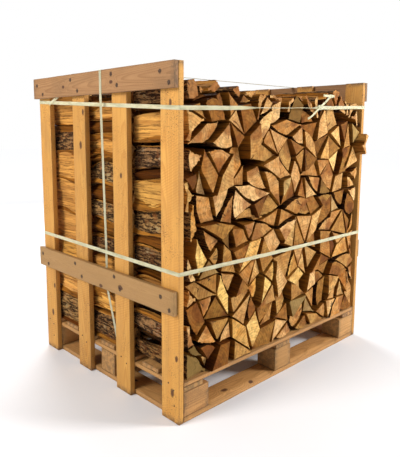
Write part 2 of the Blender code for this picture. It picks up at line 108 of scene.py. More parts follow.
# The stack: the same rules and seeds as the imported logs, so that each log lies in its own section
LOG_ROWS = ("front", "middle", "back")
LOG_LENGTH = 0.322
COURSES = 6
LOG_SPACING = 0.078
EDGE_SPACING = 0.126
QUARTERED_SHARE = 0.52
PILE_SIDE_CLEARANCE = 0.004
SCATTER_TRIES = 5200
OUTLINE_CLEARANCE = 0.58 * LOG_SPACING
WIDEST_CORNER = 168.0
LARGEST_SECTION = 0.0098
SLIM_TRIANGLE = 0.0022
PILE_BOTTOM = DECK_TOP + GAP
ROW_PITCH = (PALLET_DEPTH - LOG_LENGTH) / 2
END_PROUD = 0.010
END_SUNK = 0.022
OUTER_SUNK = 0.4 * END_SUNK
END_JITTER = (0.001, 0.012)
HOLLOW_DEPTH = 0.070
HOLLOW_SHARE = 0.16
HOLLOW_SIZE = 0.0036
SLID_OUT = 0.045
STEADY_BACK = 0.0025
DECK_REACH = 0.02
SMALL_END = 0.0030
# Painted shade: logs whose middle lies right of and above the first corner are darkened, for the shade
# over the upper right of the pile; front logs left of and below the second are made paler
PAINTED_SHADE_CORNER = (0.02, 1.15)
PALE_CORNER = (0.10, 0.70)
BOW_TOP = 1.17
BOW_FADE = 0.12
OUTSIDE_STATIONS = 0.014
SEEN_STATIONS = (0.05, 0.11, 0.20, 0.34, 0.55, 0.78)
END_ROUNDING = 0.0007
ROUND_LOG = (-0.552, 0.215)
ROUND_LOG_REACH = 0.045
SLID_SPOTS = {"front": (1.155, 0.972), "back": (0.200, 0.800)}
FRONT_TOP = (
    (0.004, 1.250), (0.060, 1.262), (0.108, 1.214), (0.166, 1.276), (0.212, 1.226),
    (0.288, 1.281), (0.318, 1.212), (0.352, 1.232), (0.410, 1.229), (0.464, 1.214),
    (0.520, 1.226), (0.580, 1.200), (0.647, 1.222), (0.705, 1.231), (0.757, 1.208),
    (0.805, 1.235), (0.861, 1.226), (0.926, 1.250), (0.968, 1.266), (1.013, 1.250),
    (1.051, 1.218), (1.099, 1.200), (1.150, 1.214), (1.196, 1.198),
)
REAR_TOP_LEFT = 1.236
REAR_TOP_RIGHT = 1.205
REAR_TOP_JITTER = 0.022


def paint(red, green, blue):
    """A colour picked as 8-bit display values, as the linear values that a shader takes."""
    linear = []
    for value in (red, green, blue):
        share = value / 255
        linear.append(share / 12.92 if share <= 0.04045 else ((share + 0.055) / 1.055) ** 2.4)
    return tuple(linear)


def colour(name, description, *values):
    """A colour property."""
    return FloatVectorProperty(
        name=name, description=description, subtype="COLOR", size=3, min=0.0, max=1.0,
        default=paint(*values),
    )


def length(name, description, default, top=1.0):
    """A length property."""
    return FloatProperty(
        name=name, description=description, subtype="DISTANCE", unit="LENGTH",
        default=default, min=0.0, max=top, precision=4,
    )


def fraction(name, description, default):
    """A property from 0 to 1."""
    return FloatProperty(
        name=name, description=description, subtype="FACTOR", default=default, min=0.0, max=1.0,
    )


def amount(name, description, default, **limits):
    """A plain number property that isn't below 0."""
    return FloatProperty(name=name, description=description, default=default, min=0.0, **limits)


class LogSettings(bpy.types.PropertyGroup):
    """Sizes and colours of the split logs."""

    play_tight: length("Tight play", "Space left where a log lies on others", 0.0012)
    play_usual: length("Usual play", "Most space left on most sides of a log", 0.0052)
    play_loose: length("Loose play", "Most space left on the loosest sides", 0.0205)
    loose_share: fraction("Loose share", "Share of sides that are loose", 0.36)
    tone_dark: amount("Darkest tone", "Darkest a log's wood is", 0.40, max=2.0)
    tone_light: amount("Lightest tone", "Lightest a log's wood is", 1.32, max=2.0)
    # Painted shade: the sides of a log that face other logs take the log's brightness times this, for
    # the shade between logs
    painted_gap_shade: fraction("Painted gap shade", "How light the sides between logs stay", 0.38)
    bow: length("Bow", "Most that logs bow up or down between their ends", 0.0300)
    sunk_most: length("Sunk ends", "Most that a small log lies behind its neighbours", 0.052)
    bark_share: fraction("Bark share", "Share of logs that keep some bark", 0.40)
    split_relief: length("Split relief", "Depth of the waves on a split face", 0.0024)
    swell: length("Swell", "Depth of the broad hollows on the logs at the sides", 0.0075)
    bark_relief: length("Bark relief", "Depth of the furrows in bark", 0.0042)
    end_tilt: FloatProperty(name="End tilt", description="Most that a sawn end leans",
                            subtype="ANGLE", unit="ROTATION", default=math.radians(7.0))
    point_spacing: length("Point spacing", "Distance between points round a log", 0.0080)
    ring_pitch: length("Ring width", "Width of a year's growth", 0.0034)
    end_pale: colour("Pale end", "Fresh sawn end", 243, 202, 136)
    end_golden: colour("Golden end", "Ripened sawn end", 192, 124, 48)
    end_heart: colour("Heart", "Heartwood by the pith", 128, 66, 16)
    end_grey: colour("Old end", "Weathered sawn end", 122, 100, 54)
    split_pale: colour("Pale fibres", "Fresh split face", 228, 166, 84)
    split_deep: colour("Deep fibres", "Darker streaks of a split face", 124, 70, 27)
    bark_ridge: colour("Bark ridges", "Dry ridges of the bark", 150, 110, 68)
    bark_furrow: colour("Bark furrows", "Bottoms of the furrows", 34, 20, 11)
    bark_flake: colour("Bark flakes", "Darker flakes of the bark", 72, 48, 29)
    bark_red: colour("Red bark", "Reddish patches of the bark", 122, 70, 34)
    lichen: colour("Lichen", "Growth on the bark", 150, 142, 112)
    crack: colour("Cracks", "Depth of the drying cracks in an end", 58, 34, 18)
    stain: colour("Stains", "Stains on a split face", 120, 74, 42)
    torn: colour("Torn fibres", "Shade between torn fibres", 66, 36, 15)


class BoardSettings(bpy.types.PropertyGroup):
    """Sizes and colours of the sawn boards."""

    edge_round: length("Edge rounding", "Rounding of a board's edges", 0.0014)
    waviness: length("Waviness", "How far a face wanders from flat", 0.0018)
    cut_spacing: length("Cut spacing", "Distance between cross cuts in the mesh", 0.045)
    ring_pitch: length("Ring width", "Width of a year's growth", 0.0042)
    upright_pale: colour("Upright, pale", "Early wood of the uprights", 211, 157, 76)
    upright_deep: colour("Upright, deep", "Late wood of the uprights", 176, 112, 41)
    rail_pale: colour("Rail, pale", "Early wood of the rails", 158, 117, 77)
    rail_deep: colour("Rail, deep", "Late wood of the rails", 116, 75, 40)
    pallet_pale: colour("Pallet, pale", "Early wood of the pallet", 208, 153, 92)
    pallet_deep: colour("Pallet, deep", "Late wood of the pallet", 140, 88, 42)
    aged: colour("Aged wood", "Wood that has stood outdoors", 192, 152, 90)
    knot: colour("Knots", "Heart of a knot", 74, 38, 22)
    knot_rim: colour("Knot rims", "Dark rim round a knot", 60, 34, 20)
    dirt: colour("Dirt", "Grime on worn edges and ends", 96, 72, 50)
    rust_stain: colour("Rust stains", "Wood round the nails of the rails", 42, 25, 16)
    nail_radius: length("Nail head radius", "Radius of a nail's head", 0.0032)
    nail_steel: colour("Nail steel", "Dull steel of a nail head", 92, 84, 78)
    nail_rust: colour("Nail rust", "Rust on a nail head", 96, 54, 30)


class StrapSettings(bpy.types.PropertyGroup):
    """Sizes and colours of the straps."""

    thickness: length("Thickness", "Thickness of the strap", 0.0008)
    sag: length("Sag", "How far a free run hangs or bows", 0.0025)
    emboss: length("Emboss pitch", "Pitch of the pressed pattern", 0.0022)
    plastic: colour("Plastic", "Pale strapping", 216, 210, 168)
    shaded: colour("Thin plastic", "Strapping that the dark wood shows through", 176, 172, 142)
    dusty: colour("Dusty plastic", "Strapping with dust on it", 172, 166, 124)


class StudioSettings(bpy.types.PropertyGroup):
    """The floor, the lights and the camera."""

    lens: FloatProperty(name="Lens", description="Focal length on a 36 mm long side",
                        default=40.507, min=1.0)
    shift: FloatVectorProperty(name="Shift", description="Lens shift across and up",
                               size=2, default=(0.0253, -0.0629))
    place: FloatVectorProperty(name="Camera place", description="Where the camera stands",
                               subtype="XYZ", unit="LENGTH", size=3,
                               default=(-1.7971, -1.7894, 1.0787))
    turn: FloatVectorProperty(name="Camera turn", description="Tilt, roll and heading",
                              subtype="EULER", unit="ROTATION", size=3,
                              default=(1.4331, -0.0124, -0.7405))
    key_power: amount("Key power", "Power of the main light in watts", 182.0)
    front_power: amount("Front power", "Power of the front light in watts", 255.0)
    back_power: amount("Back power", "Power of the back light in watts", 140.0)
    sky: amount("Sky", "Strength of the even light all round", 0.30)
    floor: colour("Floor", "Pale studio floor", 241, 243, 249)
    floor_mottle: colour("Floor mottle", "Faint patches on the floor", 228, 227, 224)


# How dirty each kind of board is, and how strong its saw marks are
BOARD_WEAR = {"upright": (0.24, 0.80), "rail": (0.34, 0.25), "pallet": (0.42, 0.45)}


class Wiring:
    """Adds nodes to a material's tree or a group's, and links them."""

    def __init__(self, tree):
        self.tree = tree

    def feed(self, socket, value):
        """Link an output to a socket, or set the socket's own value."""
        if isinstance(value, bpy.types.NodeSocket):
            self.tree.links.new(value, socket)
        elif socket.type == "RGBA" and len(value) == 3:
            socket.default_value = (*value, 1.0)
        else:
            socket.default_value = value

    def add(self, kind, inputs=(), **settings):
        """A node with its settings, and values or links for its inputs by name or number."""
        node = self.tree.nodes.new(kind)
        for name, value in settings.items():
            setattr(node, name, value)
        for name, value in dict(inputs).items():
            self.feed(node.inputs[name], value)
        return node

    def math(self, operation, first, second=0.0, third=0.0):
        """The result of a sum on numbers."""
        inputs = {0: first, 1: second, 2: third}
        return self.add("ShaderNodeMath", inputs, operation=operation).outputs[0]

    def plus(self, first, second):
        """Two numbers added."""
        return self.math("ADD", first, second)

    def minus(self, first, second):
        """One number less another."""
        return self.math("SUBTRACT", first, second)

    def times(self, first, second):
        """Two numbers multiplied."""
        return self.math("MULTIPLY", first, second)

    def times_plus(self, first, second, third):
        """Two numbers multiplied, and a third added."""
        return self.math("MULTIPLY_ADD", first, second, third)

    def vector(self, operation, first, second=(0.0, 0.0, 0.0)):
        """The vector result of a sum on vectors."""
        inputs = {0: first, 1: second}
        return self.add("ShaderNodeVectorMath", inputs, operation=operation).outputs["Vector"]

    def shifted(self, vector, by):
        """A vector with another added."""
        return self.vector("ADD", vector, by)

    def scaled(self, vector, by):
        """A vector multiplied axis by axis."""
        return self.vector("MULTIPLY", vector, by)

    def size_of(self, vector):
        """The length of a vector."""
        return self.add("ShaderNodeVectorMath", {0: vector}, operation="LENGTH").outputs["Value"]

    def split(self, vector):
        """The three parts of a vector."""
        return self.add("ShaderNodeSeparateXYZ", {0: vector}).outputs[:]

    def join(self, x=0.0, y=0.0, z=0.0):
        """A vector from three parts."""
        return self.add("ShaderNodeCombineXYZ", {0: x, 1: y, 2: z}).outputs[0]

    def attribute(self, name):
        """A vector stored on the mesh."""
        return self.add("ShaderNodeAttribute", attribute_name=name).outputs["Vector"]

    def noise(self, vector, scale, detail=2.0, roughness=0.5):
        """Soft noise from 0 to 1."""
        inputs = {"Vector": vector, "Scale": scale, "Detail": detail, "Roughness": roughness}
        return self.add("ShaderNodeTexNoise", inputs).outputs["Fac"]

    def step(self, value, low, high, to_low=0.0, to_high=1.0):
        """A soft step of a value between two levels."""
        inputs = {"Value": value, "From Min": low, "From Max": high,
                  "To Min": to_low, "To Max": to_high}
        node = self.add("ShaderNodeMapRange", inputs, interpolation_type="SMOOTHSTEP")
        return node.outputs["Result"]

    def fade(self, value, low, high):
        """A soft step down, from 1 at the low level to 0 at the high one."""
        return self.step(value, low, high, 1.0, 0.0)

    def mix(self, factor, first, second, blend="MIX"):
        """A mix of two colours."""
        inputs = {0: factor, 6: first, 7: second}
        node = self.add("ShaderNodeMix", inputs, data_type="RGBA", blend_type=blend)
        return node.outputs[2]

    def tint(self, base, mask, strength, tone):
        """A colour with another one laid over it where a mask is, at a strength."""
        return self.mix(self.times(mask, strength), base, tone)

    def multiplied(self, base, tone):
        """Two colours multiplied."""
        return self.mix(1.0, base, tone, "MULTIPLY")

    def shade(self, value):
        """A grey as bright as a number."""
        return self.add("ShaderNodeCombineColor", {0: value, 1: value, 2: value}).outputs[0]

    def stain(self, value):
        """A tint that is redder the darker it is."""
        red = self.math("POWER", value, 0.74)
        blue = self.math("POWER", self.math("MINIMUM", value, 1.1), 1.85)
        return self.add("ShaderNodeCombineColor", {0: red, 1: value, 2: blue}).outputs[0]

    def relief(self, height, depth, strength=1.0):
        """A bump normal from a height between 0 and 1."""
        inputs = {"Height": height, "Distance": depth, "Strength": strength}
        return self.add("ShaderNodeBump", inputs).outputs["Normal"]

    def group(self, tree, **inputs):
        """A placed node group's outputs by name."""
        node = self.tree.nodes.new("ShaderNodeGroup")
        node.node_tree = tree
        for name, value in inputs.items():
            self.feed(node.inputs[name.replace("_", " ")], value)
        return node.outputs


def make_group(name, inputs, outputs):
    """A shader node group with its sockets, and the wiring, input and output to fill it in with."""
    tree = bpy.data.node_groups.new(name, "ShaderNodeTree")
    for socket, kind in inputs:
        tree.interface.new_socket(socket, in_out="INPUT", socket_type="NodeSocket" + kind)
    for socket, kind in outputs:
        tree.interface.new_socket(socket, in_out="OUTPUT", socket_type="NodeSocket" + kind)
    wiring = Wiring(tree)
    start = wiring.add("NodeGroupInput")
    end = wiring.add("NodeGroupOutput")
    return tree, wiring, start.outputs, end.inputs


def annual_rings():
    """Year rings round the pith: dark late wood that ends sharply, of uneven width."""
    tree, w, start, end = make_group(
        "Annual rings",
        [("Place", "Vector"), ("Pitch", "Float"), ("Waviness", "Float"), ("Push", "Float")],
        [("Ring", "Float"), ("Radius", "Float")],
    )
    x, y, _ = w.split(start["Place"])
    radius = w.size_of(w.join(x, y, 0.0))
    calm = w.scaled(start["Place"], (1.0, 1.0, 0.10))
    wander = w.minus(w.noise(calm, 22.0, 2.0), 0.5)
    radius = w.times_plus(wander, start["Waviness"], radius)
    radius = w.plus(radius, start["Push"])
    uneven = w.noise(w.join(radius, 0.0, 0.0), 70.0, 1.0)
    turns = w.plus(w.math("DIVIDE", radius, start["Pitch"]), w.times(uneven, 1.8))
    share = w.math("FRACT", turns)
    rise = w.step(share, 0.35, 0.90)
    fall = w.fade(share, 0.93, 1.0)
    w.feed(end["Ring"], w.times(rise, fall))
    w.feed(end["Radius"], radius)
    return tree


def wood_fibres():
    """Fibres that run along the grain: broad streaks and fine lines."""
    tree, w, start, end = make_group(
        "Wood fibres",
        [("Place", "Vector"), ("Seed", "Float")],
        [("Streak", "Float"), ("Line", "Float")],
    )
    moved = w.shifted(start["Place"], w.join(start["Seed"], start["Seed"], start["Seed"]))
    streak = w.noise(w.scaled(moved, (60.0, 60.0, 2.6)), 1.0, 3.0, 0.55)
    line = w.noise(w.scaled(moved, (420.0, 420.0, 9.0)), 1.0, 2.0, 0.6)
    w.feed(end["Streak"], w.step(streak, 0.30, 0.70))
    w.feed(end["Line"], line)
    return tree


def board_wear():
    """How near a point of a board is to its edges and to its sawn ends."""
    tree, w, start, end = make_group(
        "Board wear",
        [("Place", "Vector"), ("Half", "Vector"), ("Reach", "Float")],
        [("Edge", "Float"), ("End", "Float")],
    )
    inner = w.vector("SUBTRACT", start["Half"], w.vector("ABSOLUTE", start["Place"]))
    x, y, z = w.split(inner)
    larger = w.math("MINIMUM", w.math("MAXIMUM", x, y), z)
    second = w.math("MAXIMUM", w.math("MINIMUM", x, y), larger)
    ragged = w.minus(w.noise(start["Place"], 130.0, 3.0, 0.6), 0.5)
    second = w.times_plus(ragged, w.times(start["Reach"], 1.5), second)
    w.feed(end["Edge"], w.fade(w.math("DIVIDE", second, start["Reach"]), 0.0, 1.0))
    w.feed(end["End"], w.fade(z, 0.0, 0.030))
    return tree


def knots():
    """Knots in the face of a board, and how far the grain bends round them."""
    tree, w, start, end = make_group(
        "Knots",
        [("Place", "Vector"), ("Seed", "Float")],
        [("Knot", "Float"), ("Ring", "Float"), ("Bend", "Float")],
    )
    _, y, z = w.split(start["Place"])
    seeded = w.join(w.times(y, 9.0), w.times_plus(z, 5.4, start["Seed"]), 0.0)
    cell = w.add("ShaderNodeTexVoronoi", {"Vector": seeded, "Scale": 1.0}, voronoi_dimensions="2D")
    chance = w.split(cell.outputs["Color"])
    here = w.step(chance[0], 0.52, 0.56)
    ragged = w.times(w.minus(w.noise(start["Place"], 90.0, 2.0), 0.5), 0.05)
    away = w.plus(cell.outputs["Distance"], ragged)
    size = w.times_plus(chance[1], 0.07, 0.045)
    share = w.math("DIVIDE", away, size)
    w.feed(end["Knot"], w.times(here, w.fade(share, 0.75, 1.0)))
    rim = w.times(w.step(share, 0.80, 0.95), w.fade(share, 1.0, 1.3))
    w.feed(end["Ring"], w.times(here, rim))
    bend = w.math("POWER", w.fade(away, 0.0, 0.34), 2.0)
    w.feed(end["Bend"], w.times(here, bend))
    return tree


def weather_stains():
    """Broad stains and small specks of dirt."""
    tree, w, start, end = make_group(
        "Weather stains",
        [("Place", "Vector"), ("Seed", "Float")],
        [("Stain", "Float"), ("Speck", "Float")],
    )
    moved = w.shifted(start["Place"], w.join(start["Seed"], 0.0, start["Seed"]))
    long = w.scaled(moved, (1.0, 1.0, 0.35))
    w.feed(end["Stain"], w.step(w.noise(long, 11.0, 5.0, 0.62), 0.46, 0.72))
    w.feed(end["Speck"], w.step(w.noise(moved, 190.0, 2.0, 0.5), 0.66, 0.76))
    return tree


def new_material(name, roughness, **sockets):
    """Make a material, and return the wiring and the shader's inputs to fill it in with."""
    material = bpy.data.materials.new(name)
    material.use_nodes = True
    shader = material.node_tree.nodes["Principled BSDF"]
    shader.inputs["Roughness"].default_value = roughness
    for socket, value in sockets.items():
        shader.inputs[socket.replace("_", " ")].default_value = value
    return Wiring(material.node_tree), shader.inputs


def log_end_material(groups, props):
    """A sawn end: rings and rays round the pith, saw marks, drying cracks, its own tone."""
    w, shader = new_material("log_end", 0.82, Specular_IOR_Level=0.18)
    place = w.attribute("place")
    bright, grey, seed = w.split(w.attribute("tone"))
    x, y, _ = w.split(place)
    ring, radius = w.group(groups["rings"], Place=place, Pitch=props.ring_pitch,
                           Waviness=0.008, Push=0.0)[:2]
    angle = w.math("ARCTAN2", y, x)
    moved = w.shifted(place, w.join(seed, seed, 0.0))
    patch = w.step(w.noise(moved, 26.0, 4.0, 0.6), 0.34, 0.66)
    hue = w.math("FRACT", w.times(seed, 5.17))
    ripe = w.times_plus(hue, 0.68, w.times(patch, 0.32))
    base = w.mix(ripe, props.end_pale, props.end_golden)
    heart_edge = w.times_plus(w.math("FRACT", w.times(seed, 7.3)), 0.05, 0.004)
    heart = w.step(w.minus(heart_edge, radius), -0.012, 0.006, 0.0, 0.62)
    base = w.mix(heart, base, props.end_heart)
    base = w.tint(base, ring, 0.46, props.end_heart)
    growth = w.group(groups["rings"], Place=place, Pitch=props.ring_pitch * 3.6,
                     Waviness=0.012, Push=seed)["Ring"]
    base = w.tint(base, growth, 0.34, props.end_heart)
    mottle = w.step(w.noise(moved, 60.0, 3.0, 0.55), 0.30, 0.62, 0.66, 1.10)
    base = w.multiplied(base, w.shade(mottle))
    rays = w.noise(w.join(w.times(angle, 26.0), w.times(radius, 20.0), seed), 1.0, 2.0)
    base = w.mix(w.step(rays, 0.50, 0.75, 0.0, 0.34), base, props.end_heart)
    spokes = w.noise(w.join(w.times(angle, 2.3), w.times(radius, 5.0), seed), 1.0, 1.0)
    off_line = w.math("ABSOLUTE", w.minus(spokes, 0.5))
    thin = w.math("DIVIDE", 0.0013, w.plus(radius, 0.012))
    near = w.math("DIVIDE", off_line, thin)
    fades = w.step(w.noise(moved, 20.0, 1.0), 0.55, 0.66)
    crack = w.times(w.fade(near, 0.5, 1.3), fades)
    base = w.tint(base, crack, 0.8, props.crack)
    grime = w.group(groups["stains"], Place=place, Seed=seed)
    base = w.tint(base, grime["Stain"], 0.55, props.end_heart)
    base = w.mix(grey, base, props.end_grey)
    # The brightness from the tone attribute also holds painted shade: the logs at the upper right of
    # the pile are darker
    base = w.multiplied(base, w.stain(bright))
    w.feed(shader["Base Color"], base)
    lean = w.plus(w.times(x, 900.0), w.times(y, w.times(grey, 900.0)))
    chatter = w.math("SINE", w.times_plus(w.noise(moved, 60.0, 2.0), 9.0, lean))
    saw = w.times_plus(chatter, 0.18, 0.5)
    fuzz = w.noise(moved, 900.0, 3.0, 0.65)
    height = w.plus(w.plus(saw, w.times(fuzz, 0.7)), w.times(ring, 0.25))
    height = w.minus(height, w.times(crack, 1.4))
    w.feed(shader["Normal"], w.relief(height, 0.0009, 0.75))


def log_split_material(groups, props):
    """A split face: pale and deep streaks along the fibres, torn strands and stains."""
    w, shader = new_material("log_split", 0.78, Specular_IOR_Level=0.12)
    place = w.attribute("place")
    bright, grey, seed = w.split(w.attribute("tone"))
    fibres = w.group(groups["fibres"], Place=place, Seed=seed)
    ring = w.group(groups["rings"], Place=place, Pitch=props.ring_pitch,
                   Waviness=0.010, Push=0.0)["Ring"]
    grime = w.group(groups["stains"], Place=place, Seed=seed)
    base = w.mix(w.times(fibres["Streak"], 0.50), props.split_pale, props.split_deep)
    base = w.mix(w.step(fibres["Line"], 0.45, 0.75, 0.0, 0.36), base, props.split_deep)
    base = w.tint(base, ring, 0.22, props.split_deep)
    base = w.tint(base, grime["Stain"], 0.40, props.stain)
    base = w.tint(base, grey, 0.85, props.end_grey)
    torn = w.noise(w.scaled(place, (150.0, 150.0, 3.0)), 1.0, 3.0, 0.55)
    tear = w.times(w.step(torn, 0.54, 0.58), w.fade(torn, 0.59, 0.64))
    base = w.tint(base, tear, 0.62, props.torn)
    # The brightness from the tone attribute also holds painted shade: darker sides between logs, and
    # darker logs at the upper right of the pile
    base = w.multiplied(base, w.stain(bright))
    w.feed(shader["Base Color"], base)
    strand = w.noise(w.scaled(place, (230.0, 230.0, 7.0)), 1.0, 4.0, 0.65)
    height = w.plus(strand, w.times(fibres["Line"], 0.5))
    height = w.minus(height, tear)
    w.feed(shader["Normal"], w.relief(height, 0.0022, 0.85))


def log_bark_material(props):
    """Bark: dry brown ridges between dark furrows that run along the log, with lichen."""
    w, shader = new_material("log_bark", 0.92, Specular_IOR_Level=0.12)
    place = w.attribute("place")
    bright, _, seed = w.split(w.attribute("tone"))
    moved = w.shifted(place, w.join(seed, seed, seed))
    warp = w.add("ShaderNodeTexNoise", {"Vector": moved, "Scale": 45.0, "Detail": 3.0})
    warped = w.shifted(moved, w.scaled(warp.outputs["Color"], (0.014, 0.014, 0.030)))
    folds = w.noise(w.scaled(warped, (78.0, 78.0, 9.0)), 1.0, 3.0, 0.5)
    plate = w.math("ABSOLUTE", w.times_plus(folds, 2.0, -1.0))
    cross = w.noise(w.scaled(warped, (24.0, 24.0, 30.0)), 1.0, 2.0, 0.5)
    split_line = w.math("ABSOLUTE", w.times_plus(cross, 2.0, -1.0))
    ridge = w.times(w.step(plate, 0.02, 0.22), w.step(split_line, 0.0, 0.10, 0.45, 1.0))
    flakes = w.noise(w.scaled(moved, (1.0, 1.0, 0.45)), 240.0, 4.0, 0.65)
    base = w.mix(ridge, props.bark_furrow, props.bark_ridge)
    base = w.mix(w.step(flakes, 0.42, 0.66, 0.0, 0.40), base, props.bark_flake)
    red = w.step(w.noise(moved, 30.0, 3.0), 0.52, 0.66, 0.0, 0.55)
    base = w.mix(red, base, props.bark_red)
    growth = w.times(w.step(w.noise(moved, 15.0, 5.0, 0.7), 0.55, 0.66), ridge)
    base = w.tint(base, growth, 0.60, props.lichen)
    # The brightness from the tone attribute also holds painted shade: darker sides between logs, and
    # darker logs at the upper right of the pile
    base = w.multiplied(base, w.stain(bright))
    w.feed(shader["Base Color"], base)
    height = w.plus(ridge, w.times(flakes, 0.6))
    w.feed(shader["Normal"], w.relief(height, 0.0035, 0.9))


def rail_nails():
    """Where the nails of a rail are: by upright, how far along from its middle and how far up."""
    spots = []
    for index in range(1, 5):
        low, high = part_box(f"upright_left_{index}")
        rng = random.Random(f"nails {index}")
        for share, slant in RAIL_NAILS:
            along = slant * rng.uniform(0.012, 0.030)
            spots.append((index, (low.y + high.y) / 2 + along, share + rng.uniform(-0.08, 0.08)))
    return spots


def nail_rust(w, wood, y, z):
    """How far rust has darkened a rail round each of its nails."""
    low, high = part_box("top_rail_left")
    middle = (low.y + high.y) / 2
    nearest = 1.0
    for _, along, up in rail_nails():
        off = w.join(w.minus(y, up * (high.z - low.z)), w.minus(z, along - middle))
        nearest = w.math("MINIMUM", nearest, w.size_of(off))
    ragged = w.times(w.noise(wood, 190.0, 3.0, 0.6), 0.013)
    return w.step(w.plus(nearest, ragged), 0.0118, 0.0180, 0.92, 0.0)


def board_material(groups, props, kind):
    """A sawn board: rings cut through at a slant, knots, saw marks, dirty edges and ends."""
    pale = getattr(props, kind + "_pale")
    deep = getattr(props, kind + "_deep")
    dirtiness, saw_marks = BOARD_WEAR[kind]
    w, shader = new_material("sawn_" + kind, 0.66, Specular_IOR_Level=0.35)
    place = w.attribute("place")
    half = w.attribute("half")
    pith = w.attribute("pith")
    age = w.split(w.attribute("age"))[0]
    off_x, off_y, seed = w.split(pith)
    _, y, z = w.split(place)
    lean = w.join(w.times_plus(z, 0.035, off_x), w.times_plus(z, 0.02, off_y), seed)
    wood = w.shifted(place, lean)
    knot, rim, bend = w.group(groups["knots"], Place=place, Seed=seed)[:3]
    ring = w.group(groups["rings"], Place=wood, Pitch=props.ring_pitch, Waviness=0.012,
                   Push=w.times(bend, 0.022))["Ring"]
    fibres = w.group(groups["fibres"], Place=place, Seed=seed)
    wear = w.group(groups["wear"], Place=place, Half=half, Reach=0.006)
    grime = w.group(groups["stains"], Place=place, Seed=seed)
    base = w.mix(w.times(ring, 0.46), pale, deep)
    base = w.tint(base, fibres["Streak"], 0.30, deep)
    base = w.mix(w.step(fibres["Line"], 0.45, 0.80, 0.0, 0.30), base, deep)
    base = w.tint(base, grime["Stain"], dirtiness, props.dirt)
    base = w.tint(base, grime["Speck"], dirtiness, props.knot)
    base = w.tint(base, wear["Edge"], dirtiness * 1.3, props.dirt)
    soaked = w.times(wear["End"], w.step(w.noise(place, 60.0, 3.0, 0.6), 0.40, 0.60, 0.15, 0.85))
    base = w.mix(soaked, base, props.dirt)
    slant = w.times_plus(y, 0.45, z)
    wobble = w.noise(place, 30.0, 2.0)
    blade = w.math("SINE", w.times_plus(wobble, 5.0, w.times(slant, 620.0)))
    blade = w.step(blade, 0.0, 1.0)
    marks = w.step(w.noise(w.shifted(place, pith), 7.0, 2.0), 0.40, 0.60, 0.0, saw_marks * 0.5)
    base = w.tint(base, blade, marks, deep)
    base = w.tint(base, age, 0.75, w.mix(0.55, base, props.aged))
    base = w.tint(base, knot, 0.90, props.knot)
    base = w.tint(base, rim, 0.70, props.knot_rim)
    if kind == "rail":
        base = w.mix(nail_rust(w, wood, y, z), base, props.rust_stain)
    nick = w.noise(w.scaled(place, (150.0, 150.0, 460.0)), 1.0, 2.0, 0.5)
    patch = w.step(w.noise(w.shifted(place, pith), 10.0, 3.0), 0.46, 0.60)
    nick = w.times(w.step(nick, 0.60, 0.68), patch)
    base = w.tint(base, nick, saw_marks, props.knot)
    own = w.math("FRACT", w.times(seed, 3.7))
    own = w.minus(w.times_plus(own, 0.18, 0.90), w.times(age, 0.10))
    base = w.multiplied(base, w.shade(own))
    w.feed(shader["Base Color"], base)
    drift = w.noise(place, 14.0, 2.0)
    ripple = w.math("SINE", w.times_plus(drift, 6.0, w.times(z, 1100.0)))
    height = w.plus(w.times(fibres["Line"], 0.9), w.times(ripple, 0.10))
    height = w.plus(height, w.times(ring, 0.30))
    height = w.minus(height, w.times(rim, 0.8))
    height = w.minus(height, w.times(nick, saw_marks))
    w.feed(shader["Normal"], w.relief(height, 0.0008, 0.8))


def strap_material(props):
    """Polypropylene strapping: a pressed diamond pattern, a dull shine and dust."""
    w, shader = new_material(
        "strapping", 0.38, Subsurface_Weight=0.6, Subsurface_Scale=0.006,
        Subsurface_Radius=(1.0, 0.94, 0.80),
    )
    along, across, shade = w.split(w.attribute("band"))
    spread = w.join(w.times(along, 14.0), w.times(across, 60.0), shade)
    grime = w.noise(spread, 1.0, 4.0, 0.6)
    turn = 2 * math.pi / props.emboss
    first = w.math("SINE", w.times(w.plus(along, across), turn))
    second = w.math("SINE", w.times(w.minus(along, across), turn))
    pattern = w.times(first, second)
    edge = w.step(w.math("ABSOLUTE", across), 0.0058, 0.0074)
    base = w.mix(w.step(grime, 0.40, 0.72, 0.0, 0.8), props.plastic, props.dusty)
    base = w.mix(shade, base, props.shaded)
    base = w.mix(w.step(pattern, 0.1, 0.9, 0.0, 0.16), base, props.dusty)
    base = w.tint(base, edge, 0.25, props.dusty)
    w.feed(shader["Base Color"], base)
    height = w.times(w.minus(1.0, edge), pattern)
    w.feed(shader["Normal"], w.relief(height, 0.00035, 0.7))


def nail_material(props):
    """A hammered steel nail head with rust round it."""
    w, shader = new_material("nail_steel", 0.5, Metallic=0.75)
    place = w.add("ShaderNodeTexCoord").outputs["Object"]
    rust = w.step(w.noise(place, 420.0, 3.0, 0.6), 0.42, 0.58)
    w.feed(shader["Base Color"], w.mix(rust, props.nail_steel, props.nail_rust))
    w.feed(shader["Roughness"], w.step(rust, 0.0, 1.0, 0.42, 0.85))
    w.feed(shader["Normal"], w.relief(w.noise(place, 900.0, 2.0), 0.0004, 0.6))


def make_finishes():
    """Make every material of the object."""
    scene = bpy.context.scene
    groups = {
        "rings": annual_rings(), "fibres": wood_fibres(), "wear": board_wear(),
        "knots": knots(), "stains": weather_stains(),
    }
    log_end_material(groups, scene.firewood_logs)
    log_split_material(groups, scene.firewood_logs)
    log_bark_material(scene.firewood_logs)
    for kind in BOARD_WEAR:
        board_material(groups, scene.firewood_boards, kind)
    strap_material(scene.firewood_straps)
    nail_material(scene.firewood_boards)


def finish(name):
    """A material by name; all are made the first time that one is asked for."""
    if name not in bpy.data.materials:
        make_finishes()
    return bpy.data.materials[name]


def deselect():
    """Leave object mode with nothing selected."""
    if bpy.context.object and bpy.context.object.mode != "OBJECT":
        bpy.ops.object.mode_set(mode="OBJECT")
    bpy.ops.object.select_all(action="DESELECT")


def hold(piece):
    """Select one piece only and make it the active one."""
    deselect()
    piece.select_set(True)
    bpy.context.view_layer.objects.active = piece


